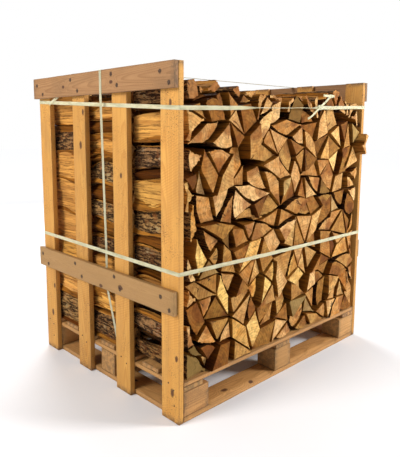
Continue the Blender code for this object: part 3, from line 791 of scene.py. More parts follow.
def rename(piece, name):
    """Give a piece and its mesh the same name."""
    piece.name = name
    piece.data.name = name


def seat(piece, slot, *nodes):
    """The piece rides on the pallet's body and stands for nodes, whose imported parts are hidden."""
    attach(piece, "root")
    if nodes:
        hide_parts(*nodes)


def store(mesh, name, values):
    """Keep a vector for each vertex of a mesh, for its material to read."""
    layer = mesh.attributes.new(name, "FLOAT_VECTOR", "POINT")
    layer.data.foreach_set("vector", [part for value in values for part in value])


def cross_cut(places, axis):
    """Cut the mesh that is being edited across an axis at each place."""
    normal = [0.0, 0.0, 0.0]
    normal[axis] = 1.0
    for place in places:
        point = [0.0, 0.0, 0.0]
        point[axis] = place
        bpy.ops.mesh.select_all(action="SELECT")
        bpy.ops.mesh.bisect(plane_co=point, plane_no=normal, use_fill=False)


def apply_modifiers(piece):
    """Apply every modifier of the active piece, in order."""
    for modifier in list(piece.modifiers):
        bpy.ops.object.modifier_apply(modifier=modifier.name)


def chamfer_runs():
    """The two stretches between the blocks where the base boards' outer edges are cut away."""
    left, centre_left, centre_right, right = BLOCK_EDGES
    gap = CHAMFER_SETBACK
    return (left + gap, centre_left - gap), (centre_right + gap, right - gap)


def cut_chamfers(piece, low, high, outward):
    """Slope a base board's outer top edge between the blocks, for the forks of a truck."""
    outer = low.y if outward < 0 else high.y
    inner = outer - outward * CHAMFER_DEPTH
    near = 1e-5
    for start, end in chamfer_runs():
        cross_cut((start, start + CHAMFER_RUN_OUT, end - CHAMFER_RUN_OUT, end), 0)
    cross_cut((inner,), 1)
    bpy.ops.mesh.select_all(action="DESELECT")
    bpy.ops.object.mode_set(mode="OBJECT")
    for vertex in piece.data.vertices:
        on_edge = abs(vertex.co.y - outer) < near and abs(vertex.co.z - high.z) < near
        in_run = any(
            start + CHAMFER_RUN_OUT - near < vertex.co.x < end - CHAMFER_RUN_OUT + near
            for start, end in chamfer_runs()
        )
        vertex.select = on_edge and in_run
    bpy.ops.object.mode_set(mode="EDIT")
    bpy.ops.transform.translate(value=(0.0, 0.0, -CHAMFER_HEIGHT))


def board_age(node, rng):
    """How weathered a board is, from 0 to 1: the middle rails most."""
    if node.startswith("middle_rail"):
        return 1.0
    if node.startswith("top_rail"):
        return rng.uniform(0.05, 0.2)
    if node.startswith("upright"):
        return rng.uniform(0.0, 0.18)
    return rng.uniform(0.15, 0.8)


def model_board(node, slot, props):
    """A sawn board in a node's place: cut across, its edges rounded and its faces a little uneven."""
    low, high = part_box(node)
    size = high - low
    order = sorted(range(3), key=lambda axis: size[axis])
    along = order[2]
    deselect()
    bpy.ops.mesh.primitive_cube_add(size=1.0, location=(low + high) / 2)
    piece = bpy.context.object
    rename(piece, node + "_sawn")
    piece.scale = size
    bpy.ops.object.transform_apply(location=True, rotation=False, scale=True)
    bpy.ops.object.mode_set(mode="EDIT")
    count = max(1, round(size[along] / props.cut_spacing))
    cross_cut([low[along] + size[along] * index / count for index in range(1, count)], along)
    cross_cut([(low[order[1]] + high[order[1]]) / 2], order[1])
    if node in ("base_board_front", "base_board_back"):
        cut_chamfers(piece, low, high, -1 if node.endswith("front") else 1)
    bpy.ops.object.mode_set(mode="OBJECT")
    bevel = piece.modifiers.new("rounding", "BEVEL")
    bevel.width = props.edge_round
    bevel.segments = 2
    bevel.limit_method = "ANGLE"
    bevel.angle_limit = math.radians(20)
    waves = bpy.data.textures.new(node + "_waves", "CLOUDS")
    waves.noise_scale = 0.11
    uneven = piece.modifiers.new("unevenness", "DISPLACE")
    uneven.texture = waves
    uneven.texture_coords = "GLOBAL"
    uneven.strength = props.waviness
    uneven.mid_level = 1.0
    apply_modifiers(piece)
    bpy.ops.object.shade_smooth_by_angle(angle=math.radians(34))
    rng = random.Random("board " + node)
    middle = (low + high) / 2
    half = [size[axis] / 2 for axis in order]
    places = [[vertex.co[axis] - middle[axis] for axis in order] for vertex in piece.data.vertices]
    pith = (
        rng.choice((-1, 1)) * rng.uniform(0.012, 0.070),
        rng.uniform(-0.05, 0.05),
        rng.uniform(0.0, 9.0),
    )
    age = (board_age(node, rng), 0.0, 0.0)
    store(piece.data, "place", places)
    for name, values in (("half", half), ("pith", pith), ("age", age)):
        store(piece.data, name, [values] * len(places))
    piece.data.materials.append(finish("sawn_" + slot.split("_")[0]))
    seat(piece, slot, node)


def nail_spots(side):
    """Where the nails of one wall are: on its rails at each upright, and at the uprights' feet."""
    sign = -1 if side == "left" else 1
    spots = []
    for index in range(1, 5):
        low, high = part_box(f"upright_{side}_{index}")
        middle = (low.y + high.y) / 2
        rng = random.Random(f"nails {side} {index}")
        for rail in ("top_rail", "middle_rail"):
            bottom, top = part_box(f"{rail}_{side}")
            for upright, y, up in rail_nails():
                if upright == index:
                    z = (bottom.z + top.z) / 2 + (top.z - bottom.z) * up
                    spots.append((sign * (RAIL_OUTER - NAIL_SET_IN), y, z))
        for z, slant in FOOT_NAILS:
            if z > LOW_NAIL or index in (1, 4):
                y = middle + slant * rng.uniform(0.010, 0.028)
                spots.append((sign * (UPRIGHT_OUTER - NAIL_SET_IN), y, z + rng.uniform(-0.004, 0.004)))
    return spots


def model_nails(side, props):
    """One domed nail head, copied to every spot of a wall."""
    sign = -1 if side == "left" else 1
    heads = []
    for spot in nail_spots(side):
        deselect()
        if not heads:
            bpy.ops.mesh.primitive_cylinder_add(
                vertices=14, radius=props.nail_radius, depth=NAIL_HEAD_DEPTH,
            )
            head = bpy.context.object
            bpy.ops.object.mode_set(mode="EDIT")
            bpy.ops.mesh.select_all(action="DESELECT")
            bpy.ops.object.mode_set(mode="OBJECT")
            for face in head.data.polygons:
                face.select = face.normal.z > 0.9
            bpy.ops.object.mode_set(mode="EDIT")
            bpy.ops.mesh.inset(thickness=props.nail_radius * 0.3)
            bpy.ops.transform.translate(value=(0.0, 0.0, 0.0003))
            bpy.ops.object.mode_set(mode="OBJECT")
        else:
            head = heads[0].copy()
            head.data = heads[0].data.copy()
            bpy.context.collection.objects.link(head)
        head.location = spot
        head.rotation_euler = (0.0, sign * math.pi / 2, 0.0)
        heads.append(head)
    deselect()
    for head in heads:
        head.select_set(True)
    bpy.context.view_layer.objects.active = heads[0]
    bpy.ops.object.join()
    bpy.ops.object.transform_apply(location=True, rotation=True, scale=True)
    bpy.ops.object.shade_smooth_by_angle(angle=math.radians(30))
    piece = bpy.context.object
    rename(piece, f"nails_{side}")
    piece.data.materials.append(finish("nail_steel"))
    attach(piece, "root")


def band(name, path, props, closed=True, shade=0.0, width=STRAP_WIDTH):
    """A thin strap along a path of (point, outward, across) triples."""
    bm = bmesh.new()
    rows = []
    for point, out, across in path:
        side = across.normalized() * (width / 2)
        lift = out.normalized() * props.thickness
        corners = (point - side, point - side + lift, point + side + lift, point + side)
        rows.append([bm.verts.new(corner) for corner in corners])
    pairs = list(zip(rows, rows[1:] + rows[:1] if closed else rows[1:]))
    for first, second in pairs:
        for index in range(4):
            following = (index + 1) % 4
            bm.faces.new((first[index], second[index], second[following], first[following]))
    if not closed:
        bm.faces.new(rows[0])
        bm.faces.new(list(reversed(rows[-1])))
    bmesh.ops.recalc_face_normals(bm, faces=bm.faces)
    mesh = bpy.data.meshes.new(name)
    bm.to_mesh(mesh)
    bm.free()
    travelled = 0.0
    values = []
    half = width / 2
    for index, (point, _, _) in enumerate(path):
        if index:
            travelled += (point - path[index - 1][0]).length
        values += [(travelled, side, shade) for side in (-half, -half, half, half)]
    store(mesh, "band", values)
    piece = bpy.data.objects.new(name, mesh)
    bpy.context.collection.objects.link(piece)
    piece.data.materials.append(finish("strapping"))
    hold(piece)
    bpy.ops.object.shade_smooth_by_angle(angle=math.radians(40))
    return piece


def twist(x):
    """How far the upper strap is turned on edge at a place along the front, from 0 to 1."""
    turn_in = min(1.0, max(0.0, (x - TWIST_START) / TWIST_IN))
    turn_out = min(1.0, max(0.0, (TWIST_END - x) / TWIST_OUT))
    share = min(turn_in, turn_out)
    return share * share * (3.0 - 2.0 * share)


def level_path(heights, name, props):
    """Round the uprights: straight over their faces, a little slack across the front and back."""
    rng = random.Random("strap " + name)
    x_side = UPRIGHT_OUTER + GAP
    y_end = HALF_DEPTH + GAP
    turn = STRAP_BEND
    corners = [(-1, -1), (1, -1), (1, 1), (-1, 1)]
    path = []
    for index, (sx, sy) in enumerate(corners):
        nx, ny = corners[(index + 1) % 4]
        z0, z1 = heights[index], heights[(index + 1) % 4]
        start = Vector((sx * x_side, sy * y_end, z0))
        end = Vector((nx * x_side, ny * y_end, z1))
        way = (end - start).normalized()
        out = Vector((0.0, sy, 0.0)) if sy == ny else Vector((sx, 0.0, 0.0))
        run = (end - start).length
        count = round(run / 0.03)
        for step in range(count + 1):
            travelled = turn + (run - 2 * turn) * step / count
            point = start + way * travelled
            free = math.sin(math.pi * step / count)
            if sy == ny:
                point.z += free * rng.uniform(-0.0010, 0.0010) - props.sag * free * 0.6
                point += out * (free * (0.0006 + rng.uniform(0.0, 0.0012)))
            turned = TWIST_ANGLE * twist(point.x) if name == "upper" and out.y < -0.5 else 0.0
            across = UP * math.cos(turned) + out * math.sin(turned)
            point += out * (math.sin(turned) * STRAP_WIDTH / 2)
            path.append((point, out * math.cos(turned) - UP * math.sin(turned), across))
        before = Vector((0.0, ny, 0.0)) if sy == ny else Vector((nx, 0.0, 0.0))
        after = Vector((nx, 0.0, 0.0)) if sy == ny else Vector((0.0, ny, 0.0))
        for share in (0.33, 0.67):
            lean = (before * (1 - share) + after * share).normalized()
            centre = end - before * turn - after * turn
            path.append((centre + lean * turn, lean, UP))
    return path


def smooth_route(points, spacing):
    """Points at an even spacing along a smooth curve through the given ones."""
    route = []
    count = len(points)
    for index in range(count - 1):
        p0 = Vector(points[max(index - 1, 0)])
        p1 = Vector(points[index])
        p2 = Vector(points[index + 1])
        p3 = Vector(points[min(index + 2, count - 1)])
        steps = max(1, round((p2 - p1).length / spacing))
        for step in range(steps):
            t = step / steps
            route.append(0.5 * (2 * p1 + (p2 - p0) * t + (2 * p0 - 5 * p1 + 4 * p2 - p3) * t * t
                                + (3 * p1 - p0 - 3 * p2 + p3) * t ** 3))
    route.append(Vector(points[-1]))
    return route


def cross_path():
    """Over the load, down outside the top rails, behind the middle rails and under the deck."""
    rail = RAIL_OUTER + GAP
    between = UPRIGHT_OUTER - 0.012
    edge = HALF_WIDTH + 2 * GAP
    over = WALL_HEIGHT + GAP
    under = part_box("stringer_left")[0].z - GAP
    middle_low, middle_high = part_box("middle_rail_left")
    y_rail, y_middle, y_base = (depth - HALF_DEPTH for depth in CROSS_STRAP_DEPTHS)
    left = [
        (-rail, y_rail, over),
        (-rail, y_rail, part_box("top_rail_left")[0].z),
        (-between, y_middle, middle_high.z + 0.07),
        (-between, y_middle, middle_low.z),
        (-edge, y_base, DECK_TOP),
        (-edge, y_base, under),
    ]
    corners = left + [(-x, y, z) for x, y, z in reversed(left)]
    path = []
    for index, corner in enumerate(corners):
        here = Vector(corner)
        there = Vector(corners[(index + 1) % len(corners)])
        way = (there - here).normalized()
        out = Vector((-way.z, 0.0, way.x)).normalized()
        count = max(1, round((there - here).length / 0.05))
        before = Vector(corners[index - 1])
        back = (here - before).normalized()
        lean = (out + Vector((-back.z, 0.0, back.x)).normalized()).normalized()
        path.append((here, lean, BACKWARD))
        for step in range(1, count):
            path.append((here.lerp(there, step / count), out, BACKWARD))
    return path


def tail_path(points, out):
    """A loose end along a smooth curve, its flat side to the front or the side."""
    route = smooth_route(points, 0.006)
    path = []
    for index, point in enumerate(route):
        before = route[max(index - 1, 0)]
        after = route[min(index + 1, len(route) - 1)]
        way = (after - before).normalized()
        across = out.cross(way).normalized()
        normal = way.cross(across)
        path.append((point, normal if normal.dot(out) > 0 else -normal, across))
    return path


def strap_turn(x, y, z, shift, lean):
    """A turn of strap round the upper strap at its joint, leaning to one side."""
    path = []
    for step in range(16):
        angle = 2 * math.pi * step / 16
        rise = 0.0094 * math.sin(angle)
        place = Vector((x + shift + lean * rise, y - 0.0026 + 0.0023 * math.cos(angle), z + rise))
        normal = Vector((0.0, math.cos(angle), 0.25 * math.sin(angle)))
        across = Vector((1.0, 0.0, -lean if abs(math.cos(angle)) > 0.2 else 0.0))
        path.append((place, normal, across))
    return path


def model_strap_joint(props):
    """The upper strap's joint on the front: two turns of strap round it, and its loose ends."""
    x, z = STRAP_JOINT
    y = -HALF_DEPTH
    tails = {
        "strap_tail_high": (
            (-0.004, -0.0022, 0.0), (0.020, -0.0050, 0.012), (0.044, -0.0100, 0.030),
            (0.066, -0.0125, 0.046), (0.092, -0.0135, 0.052),
        ),
        "strap_tail_fold": (
            (0.098, -0.0150, 0.052), (0.070, -0.0165, 0.054), (0.040, -0.0155, 0.052),
            (0.012, -0.0140, 0.053),
        ),
        "strap_tail_low": (
            (0.006, -0.0032, 0.0), (-0.022, -0.0065, -0.012), (-0.048, -0.0110, -0.024),
            (-0.076, -0.0135, -0.040), (-0.106, -0.0145, -0.051),
        ),
    }
    for name, offsets in tails.items():
        points = [(x + dx, y + dy, z + dz) for dx, dy, dz in offsets]
        tail = band(name, tail_path(points, -BACKWARD), props, closed=False, width=TAIL_WIDTH)
        seat(tail, "strap_plastic")
    for number, (shift, lean) in enumerate(((-0.006, 0.30), (0.007, -0.35)), 1):
        turn = band(f"strap_turn_{number}", strap_turn(x, y, z, shift, lean), props)
        seat(turn, "strap_plastic")
    side = -UPRIGHT_OUTER
    start_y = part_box("upright_left_4")[0].y
    height = UPPER_STRAP_HEIGHTS[3]
    offsets = (
        (-0.0022, -0.002, -0.012), (-0.0024, -0.030, -0.002), (-0.0026, -0.066, 0.012),
        (-0.0030, -0.096, 0.026),
    )
    points = [(side + dx, start_y + dy, height + dz) for dx, dy, dz in offsets]
    path = tail_path(points, Vector((-1.0, 0.0, 0.0)))
    seat(band("strap_tail_side", path, props, closed=False), "strap_plastic")


def model_straps(props):
    """The two level straps, the cross strap and the joint of the upper one with its loose ends."""
    for name, heights in (("upper", UPPER_STRAP_HEIGHTS), ("lower", LOWER_STRAP_HEIGHTS)):
        piece = band(f"strap_{name}_band", level_path(heights, name, props), props)
        seat(piece, "strap_plastic", f"strap_{name}")
    piece = band("strap_cross_band", cross_path(), props, shade=0.75)
    seat(piece, "strap_plastic", "strap_cross")
    model_strap_joint(props)


def pile_top(row, rng):
    """Top outline of a row, left to right."""
    if row == "front":
        return list(FRONT_TOP)
    outline = []
    count = 18
    for index in range(count + 1):
        share = index / count
        x = PILE_SIDE_CLEARANCE + share * (PALLET_WIDTH - 2 * PILE_SIDE_CLEARANCE)
        if 0 < index < count:
            x += rng.uniform(-0.012, 0.012)
        level = REAR_TOP_LEFT + share * (REAR_TOP_RIGHT - REAR_TOP_LEFT)
        zigzag = REAR_TOP_JITTER if index % 2 else -REAR_TOP_JITTER
        outline.append((x, level + zigzag * rng.uniform(0.3, 1.0)))
    return outline


def side_points(rng, x_edge, inward, z_from, z_to):
    """Points up one side of the pile, some set back from the wall."""
    count = round(abs(z_to - z_from) / EDGE_SPACING)
    points = []
    for index in range(1, count):
        z = z_from + (z_to - z_from) * (index + rng.uniform(-0.22, 0.22)) / count
        points.append((x_edge + inward * rng.choice((0.0, 0.004, 0.016)), z))
    return points


def bottom_points(rng):
    """Points along the deck, where the lowest logs rest."""
    low = PILE_SIDE_CLEARANCE
    high = PALLET_WIDTH - PILE_SIDE_CLEARANCE
    count = round((high - low) / EDGE_SPACING)
    points = [(low, PILE_BOTTOM)]
    for index in range(1, count):
        x = low + (high - low) * (index + rng.uniform(-0.2, 0.2)) / count
        points.append((x, PILE_BOTTOM))
    points.append((high, PILE_BOTTOM))
    return points


def pairs_round(items):
    """Each item of a closed ring with the one after it."""
    return list(zip(items, items[1:] + items[:1]))


def inside(point, outline):
    """Whether a point lies in a closed outline."""
    x, z = point
    found = False
    for (x0, z0), (x1, z1) in pairs_round(outline):
        if (z0 > z) != (z1 > z) and x < x0 + (z - z0) * (x1 - x0) / (z1 - z0):
            found = not found
    return found


def segment_distance(point, start, end):
    """Distance from a point to a segment, in the plane."""
    px, pz = point
    ax, az = start
    dx = end[0] - ax
    dz = end[1] - az
    along = ((px - ax) * dx + (pz - az) * dz) / (dx * dx + dz * dz)
    along = min(1.0, max(0.0, along))
    return math.hypot(px - ax - along * dx, pz - az - along * dz)


def scatter(rng, outline):
    """Points inside the outline, no two closer than the spacing."""
    sides = pairs_round(outline)
    points = []
    for _ in range(SCATTER_TRIES):
        point = (rng.uniform(0.0, PALLET_WIDTH), rng.uniform(PILE_BOTTOM, WALL_HEIGHT))
        if not inside(point, outline):
            continue
        if any(math.dist(point, other) < LOG_SPACING for other in points):
            continue
        if min(segment_distance(point, a, b) for a, b in sides) < OUTLINE_CLEARANCE:
            continue
        points.append(point)
    return points


def corner_angles(points):
    """The inner angles of a polygon that runs anticlockwise, in degrees."""
    angles = []
    count = len(points)
    for index in range(count):
        before = Vector(points[index - 1]) - Vector(points[index])
        after = Vector(points[(index + 1) % count]) - Vector(points[index])
        angle = math.degrees(math.atan2(before.y, before.x) - math.atan2(after.y, after.x))
        angles.append(angle % 360.0)
    return angles


def polygon_area(points):
    """The area of a polygon that runs anticlockwise."""
    total = 0.0
    for (x0, z0), (x1, z1) in pairs_round(points):
        total += x0 * z1 - x1 * z0
    return total / 2


def merged(first, second):
    """Two triangles joined over the edge they share, or None if they share none."""
    for index in range(3):
        a = first[index]
        b = first[(index + 1) % 3]
        if a in second and b in second:
            apex = next(item for item in second if item not in (a, b))
            return [a, apex, b, first[(index + 2) % 3]]
    return None


def log_sections(row):
    """The cross-sections of one row's logs: points in the plane, and cells of point numbers."""
    rng = random.Random("firewood " + row)
    top = pile_top(row, rng)
    low = PILE_SIDE_CLEARANCE
    high = PALLET_WIDTH - PILE_SIDE_CLEARANCE
    bottom = bottom_points(rng)
    right = side_points(rng, high, -1, PILE_BOTTOM, top[-1][1])
    left = side_points(rng, low, 1, top[0][1], PILE_BOTTOM)
    outline = bottom + right + list(reversed(top)) + left
    points = outline + scatter(rng, outline)
    ring = [(index, (index + 1) % len(outline)) for index in range(len(outline))]
    vectors = [Vector(point) for point in points]
    result = delaunay_2d_cdt(vectors, ring, [], 1, 1e-6)
    corners = [tuple(point) for point in result[0]]
    triangles = [list(face) for face in result[2]]
    triangles = [tri if polygon_area([corners[i] for i in tri]) > 0 else tri[::-1] for tri in triangles]
    owners = {}
    for number, tri in enumerate(triangles):
        for index in range(3):
            key = frozenset((tri[index], tri[(index + 1) % 3]))
            owners.setdefault(key, []).append(number)
    pairs = [pair for pair in owners.values() if len(pair) == 2]
    rng.shuffle(pairs)
    taken = set()
    cells = []
    for first, second in pairs:
        if first in taken or second in taken or rng.random() > QUARTERED_SHARE:
            continue
        quad = merged(triangles[first], triangles[second])
        shape = [corners[i] for i in quad]
        halves = [polygon_area([corners[i] for i in triangles[n]]) for n in (first, second)]
        large = polygon_area(shape) > LARGEST_SECTION and min(halves) >= SLIM_TRIANGLE
        if large or max(corner_angles(shape)) > WIDEST_CORNER:
            continue
        taken.update((first, second))
        cells.append(quad)
    cells += [tri for number, tri in enumerate(triangles) if number not in taken]
    cells.sort(key=lambda cell: (sum(corners[i][1] for i in cell) / len(cell), cell[0]))
    return corners, cells


def cell_centre(corners, cell):
    """The middle of a cell's corners."""
    count = len(cell)
    return sum(corners[i][0] for i in cell) / count, sum(corners[i][1] for i in cell) / count


def neighbours(cells):
    """For each cell, the cells that share an edge with it."""
    owners = {}
    for number, cell in enumerate(cells):
        for a, b in pairs_round(cell):
            owners.setdefault(frozenset((a, b)), []).append(number)
    table = {number: set() for number in range(len(cells))}
    for pair in owners.values():
        if len(pair) == 2:
            table[pair[0]].add(pair[1])
            table[pair[1]].add(pair[0])
    return table


def connected_groups(members, table):
    """Split a set of cells into groups that hang together by their edges, largest first."""
    left = set(members)
    groups = []
    while left:
        group = {min(left)}
        frontier = list(group)
        while frontier:
            reached = (table[frontier.pop()] & left) - group
            group |= reached
            frontier += sorted(reached)
        left -= group
        groups.append(group)
    return sorted(groups, key=lambda group: (-len(group), min(group)))


def assign_courses(corners, cells, loose):
    """A course number for each cell but the loose one, every course one connected band."""
    top = max(corners[i][1] for cell in cells for i in cell)
    course = {}
    for number, cell in enumerate(cells):
        height = (cell_centre(corners, cell)[1] - PILE_BOTTOM) / (top - 0.06 - PILE_BOTTOM)
        course[number] = min(COURSES - 1, int(height * COURSES))
    course.pop(loose, None)
    table = neighbours(cells)
    for _ in range(6):
        for level in range(COURSES):
            members = [number for number in course if course[number] == level]
            for group in connected_groups(members, table)[1:]:
                near = [n for number in sorted(group) for n in sorted(table[number] - group)]
                around = [course[n] for n in near if n in course]
                best = max(set(around), key=lambda value: (around.count(value), -value))
                for number in group:
                    course[number] = best
    return course


def inner_radius(points):
    """Roughly the largest circle that fits in a convex polygon."""
    around = sum(math.dist(a, b) for a, b in pairs_round(points))
    return 2 * polygon_area(points) / around


def strap_height(heights, x):
    """Height of a level strap across the front or the back, x from 0 at the left."""
    share = x / PALLET_WIDTH
    return heights[0] + share * (heights[1] - heights[0])


def under_strap(points, row):
    """Whether a log's end lies behind one of the level straps."""
    for heights in (UPPER_STRAP_HEIGHTS, LOWER_STRAP_HEIGHTS):
        pair = heights[:2] if row == "front" else (heights[3], heights[2])
        low = min(z - strap_height(pair, x) for x, z in points)
        high = max(z - strap_height(pair, x) for x, z in points)
        if low < STRAP_WIDTH and high > -STRAP_WIDTH:
            return True
    return False


def slid_log(row, corners, cells):
    """The number of the cell whose log slid out of its row, or None in the middle row."""
    if row not in SLID_SPOTS:
        return None
    spot = SLID_SPOTS[row]
    return min(
        range(len(cells)),
        key=lambda number: math.dist(cell_centre(corners, cells[number]), spot),
    )


def end_depths(row, corners, cells):
    """How far each log's end stands behind the walls' edges; negative is proud, None a hollow."""
    rng = random.Random("ends " + row)
    depths = []
    for cell in cells:
        shape = [corners[i] for i in cell]
        depth = rng.uniform(-END_PROUD, END_SUNK)
        hollow = rng.random() < HOLLOW_SHARE and polygon_area(shape) < HOLLOW_SIZE
        if under_strap(shape, row):
            depth = abs(depth) + 0.001
        depths.append(None if hollow else depth)
    return depths


class Stack:
    """The vertices, faces and surface data of the logs that share a mesh."""

    def __init__(self):
        self.points = []
        self.faces = []
        self.finishes = []
        self.place = []
        self.tone = []

    def add(self, points, pith, tones):
        """Put points in, with their place in the log's own wood, and return their numbers."""
        first = len(self.points)
        for point, tone in zip(points, tones):
            self.points.append(tuple(point))
            self.place.append((point[0] - pith[0], point[2] - pith[1], point[1]))
            self.tone.append(tone)
        return list(range(first, first + len(points)))

    def face(self, corners, finish_number):
        """Put a face in."""
        self.faces.append(corners)
        self.finishes.append(finish_number)

    def make(self, name):
        """The finished mesh object."""
        mesh = bpy.data.meshes.new(name)
        mesh.from_pydata(self.points, [], self.faces)
        mesh.update()
        for material in ("log_end", "log_split", "log_bark"):
            mesh.materials.append(finish(material))
        mesh.polygons.foreach_set("material_index", self.finishes)
        store(mesh, "place", self.place)
        store(mesh, "tone", self.tone)
        piece = bpy.data.objects.new(name, mesh)
        bpy.context.collection.objects.link(piece)
        hold(piece)
        bpy.ops.object.shade_smooth_by_angle(angle=math.radians(38))
        return piece


END, SPLIT, BARK = 0, 1, 2
SMOOTH, WILD = 0.15, 3.0
LEAST_TRIM = 0.0012
SNUG_PLAY = 0.0009
FRONT, BACK = -1, 1

# How a log lies: where its row and the log itself start and end, from which side its end is seen,
# and whether it stands steady behind a strap, has slid out, or lies snug by the rim of the pile
Lay = namedtuple("Lay", "front start end seen steady slid snug")


class Section:
    """How one log's section is drawn inside its cell: play, bark, trimmed corners."""

    def __init__(self, rng, shape, plays, outside, lay, props):
        self.shape = shape
        self.outside = outside
        self.snug = lay.snug
        self.lengths = [math.dist(a, b) for a, b in pairs_round(shape)]
        size = inner_radius(shape)
        self.kinds = [SPLIT] * len(shape) if lay.slid else self.choose_bark(rng, props)
        if self.snug:
            self.kinds = [kind if index in outside else SPLIT for index, kind in enumerate(self.kinds)]
        self.near = [min(0.46 * size, play * rng.uniform(0.7, 1.3)) for play in plays]
        self.far = [min(0.36 * size, play * rng.uniform(0.5, 1.6)) for play in plays]
        for index in range(len(shape)):
            if outside and index not in outside and not self.snug:
                slope = rng.uniform(0.0, 0.60) * size
                tapered = self.near if rng.random() < 0.5 else self.far
                tapered[index] = max(tapered[index], slope)
        self.bulges = []
        for kind, run in zip(self.kinds, self.lengths):
            if kind == BARK:
                self.bulges.append(run * rng.uniform(0.05, 0.10))
            else:
                self.bulges.append(-run * rng.uniform(0.0, 0.022))
        self.leans = [rng.uniform(-0.95, 0.95) for _ in shape]
        self.trims = []
        for _ in shape:
            blunt = rng.random() < 0.16
            self.trims.append(rng.uniform(0.006, 0.013) if blunt else rng.uniform(LEAST_TRIM, 0.0030))
        if self.snug:
            self.trims = [LEAST_TRIM] * len(shape)
        self.counts = []
        for kind, run in zip(self.kinds, self.lengths):
            spacing = props.point_spacing * (0.8 if kind == BARK or outside else 1.0)
            self.counts.append(max(3, round(run / spacing)))

    def choose_bark(self, rng, props):
        """Which sides keep their bark: mostly one, the widest or one on the outside of the pile."""
        kinds = [SPLIT] * len(self.lengths)
        widest = max(range(len(kinds)), key=lambda index: self.lengths[index])
        if len(kinds) == 4 and rng.random() < 0.07:
            return [BARK] * 4
        if rng.random() < props.bark_share:
            kinds[widest] = BARK
        for index in self.outside:
            kinds[index] = SPLIT
            if rng.random() < 0.36:
                kinds = [SPLIT] * len(kinds)
                kinds[index] = BARK
        return kinds

    def outline(self, plays):
        """Points round the section with their outward directions, for given plays."""
        shape = self.shape
        count = len(shape)
        lines = []
        for index in range(count):
            start = Vector(shape[index])
            end = Vector(shape[(index + 1) % count])
            way = (end - start).normalized()
            inward = Vector((-way.y, way.x))
            bulge = max(0.0, self.bulges[index])
            start += inward * (plays[index] * (1.0 - self.leans[index]) + bulge)
            end += inward * (plays[index] * (1.0 + self.leans[index]) + bulge)
            lines.append((start, (end - start).normalized()))
        corners = []
        for index in range(count):
            first, way = lines[index - 1]
            second, turn = lines[index]
            cross = way.x * turn.y - way.y * turn.x
            apart = second - first
            corners.append(first + way * ((apart.x * turn.y - apart.y * turn.x) / cross))
        points = []
        for index in range(count):
            start = corners[index]
            end = corners[(index + 1) % count]
            run = (end - start).length
            way = (end - start).normalized()
            outward = Vector((way.y, -way.x))
            near = min(self.trims[index], 0.3 * run) / run
            far = 1.0 - min(self.trims[(index + 1) % count], 0.3 * run) / run
            steps = self.counts[index]
            for step in range(steps):
                share = near + (far - near) * step / (steps - 1)
                arch = self.bulges[index] * 4.0 * share * (1.0 - share)
                points.append((start.lerp(end, share) + outward * arch, outward))
        return points

    def sides(self):
        """The finish of the strip that starts at each point; a corner takes the side before it."""
        kinds = []
        for kind, steps in zip(self.kinds, self.counts):
            kinds += [kind] * steps
        return kinds

    def roughness(self):
        """How rough the surface is at each point, most on the outside, and whether it is outside."""
        beside = SMOOTH if self.snug else WILD if self.outside else 1.0
        rough = []
        for index, steps in enumerate(self.counts):
            rough += [(WILD, True) if index in self.outside else (beside, False)] * steps
        return rough

    def pith(self):
        """The middle of the tree, opposite the bark and about where the section's tip is."""
        middle = sum((Vector(point) for point in self.shape), Vector((0.0, 0.0))) / len(self.shape)
        if self.kinds.count(BARK) == len(self.kinds):
            return middle
        if BARK not in self.kinds:
            points = [Vector(point) for point in self.shape]
            tip = max(points, key=lambda point: (point - middle).length)
            return middle + (tip - middle) * 1.08
        index = self.kinds.index(BARK)
        start = Vector(self.shape[index])
        end = Vector(self.shape[(index + 1) % len(self.shape)])
        away = middle - (start + end) / 2
        return middle + away * (1.5 if len(self.shape) == 3 else 1.1)


def relief(point, kind, rough, seed, props):
    """How far a log's surface lies below its section, for a point on its side."""
    x, y, z = point
    wild = rough - 1.0
    swell = 0.0
    if wild > 0.0:
        swell = 0.5 + 0.5 * noise.noise(Vector((x * 11, y * 8.0 - seed, z * 11)))
        swell = wild * props.swell * swell * swell
    if kind == BARK:
        furrow = abs(noise.noise(Vector((x * 62 + seed, y * 17, z * 62 - seed))))
        crumbs = 0.5 + 0.5 * noise.noise(Vector((x * 160 - seed, y * 60, z * 160)))
        return swell + props.bark_relief * (0.75 * (1.0 - min(1.0, furrow * 3.2)) + 0.35 * crumbs)
    broad = 0.5 + 0.5 * noise.noise(Vector((x * 27 + seed, y * 6.0, z * 27)))
    strand = 0.5 + 0.5 * noise.noise(Vector((x * 120, y * 8.0 + seed, z * 120)))
    depth = 0.75 * broad + 0.40 * strand
    if wild > 0.0:
        groove = abs(noise.noise(Vector((x * 50 - seed, y * 5.0, z * 50))))
        depth += wild * max(0.0, 1.0 - groove * 4.5)
    return swell + props.split_relief * depth * min(1.0, rough)


def bow(x, y, z, front, props):
    """How far the logs bow up or down between their ends, the same for all that lie together."""
    share = min(1.0, max(0.0, (y - front) / LOG_LENGTH))
    room = max(0.0, min(1.0, (z - DECK_TOP - DECK_REACH) / BOW_FADE, (BOW_TOP - z) / BOW_FADE))
    arch = noise.noise(Vector((x * 3.5, front * 9.0, z * 5.5)))
    slope = noise.noise(Vector((x * 3.5, 7.0 - front * 9.0, z * 5.5)))
    rise = arch * math.sin(math.pi * share) + 0.6 * slope * math.sin(2 * math.pi * share)
    return props.bow * room * rise


def stations(span, seen, outside):
    """Where the sections of a log are along it, closer together where it is seen."""
    if outside:
        count = round(span / OUTSIDE_STATIONS)
        inner = [span * index / count for index in range(1, count)]
    elif seen:
        inner = sorted(span * (share if seen == FRONT else 1.0 - share) for share in SEEN_STATIONS)
    else:
        inner = [span * 0.5]
    rim = 0.0012
    return [0.0, rim] + inner + [span - rim, span]


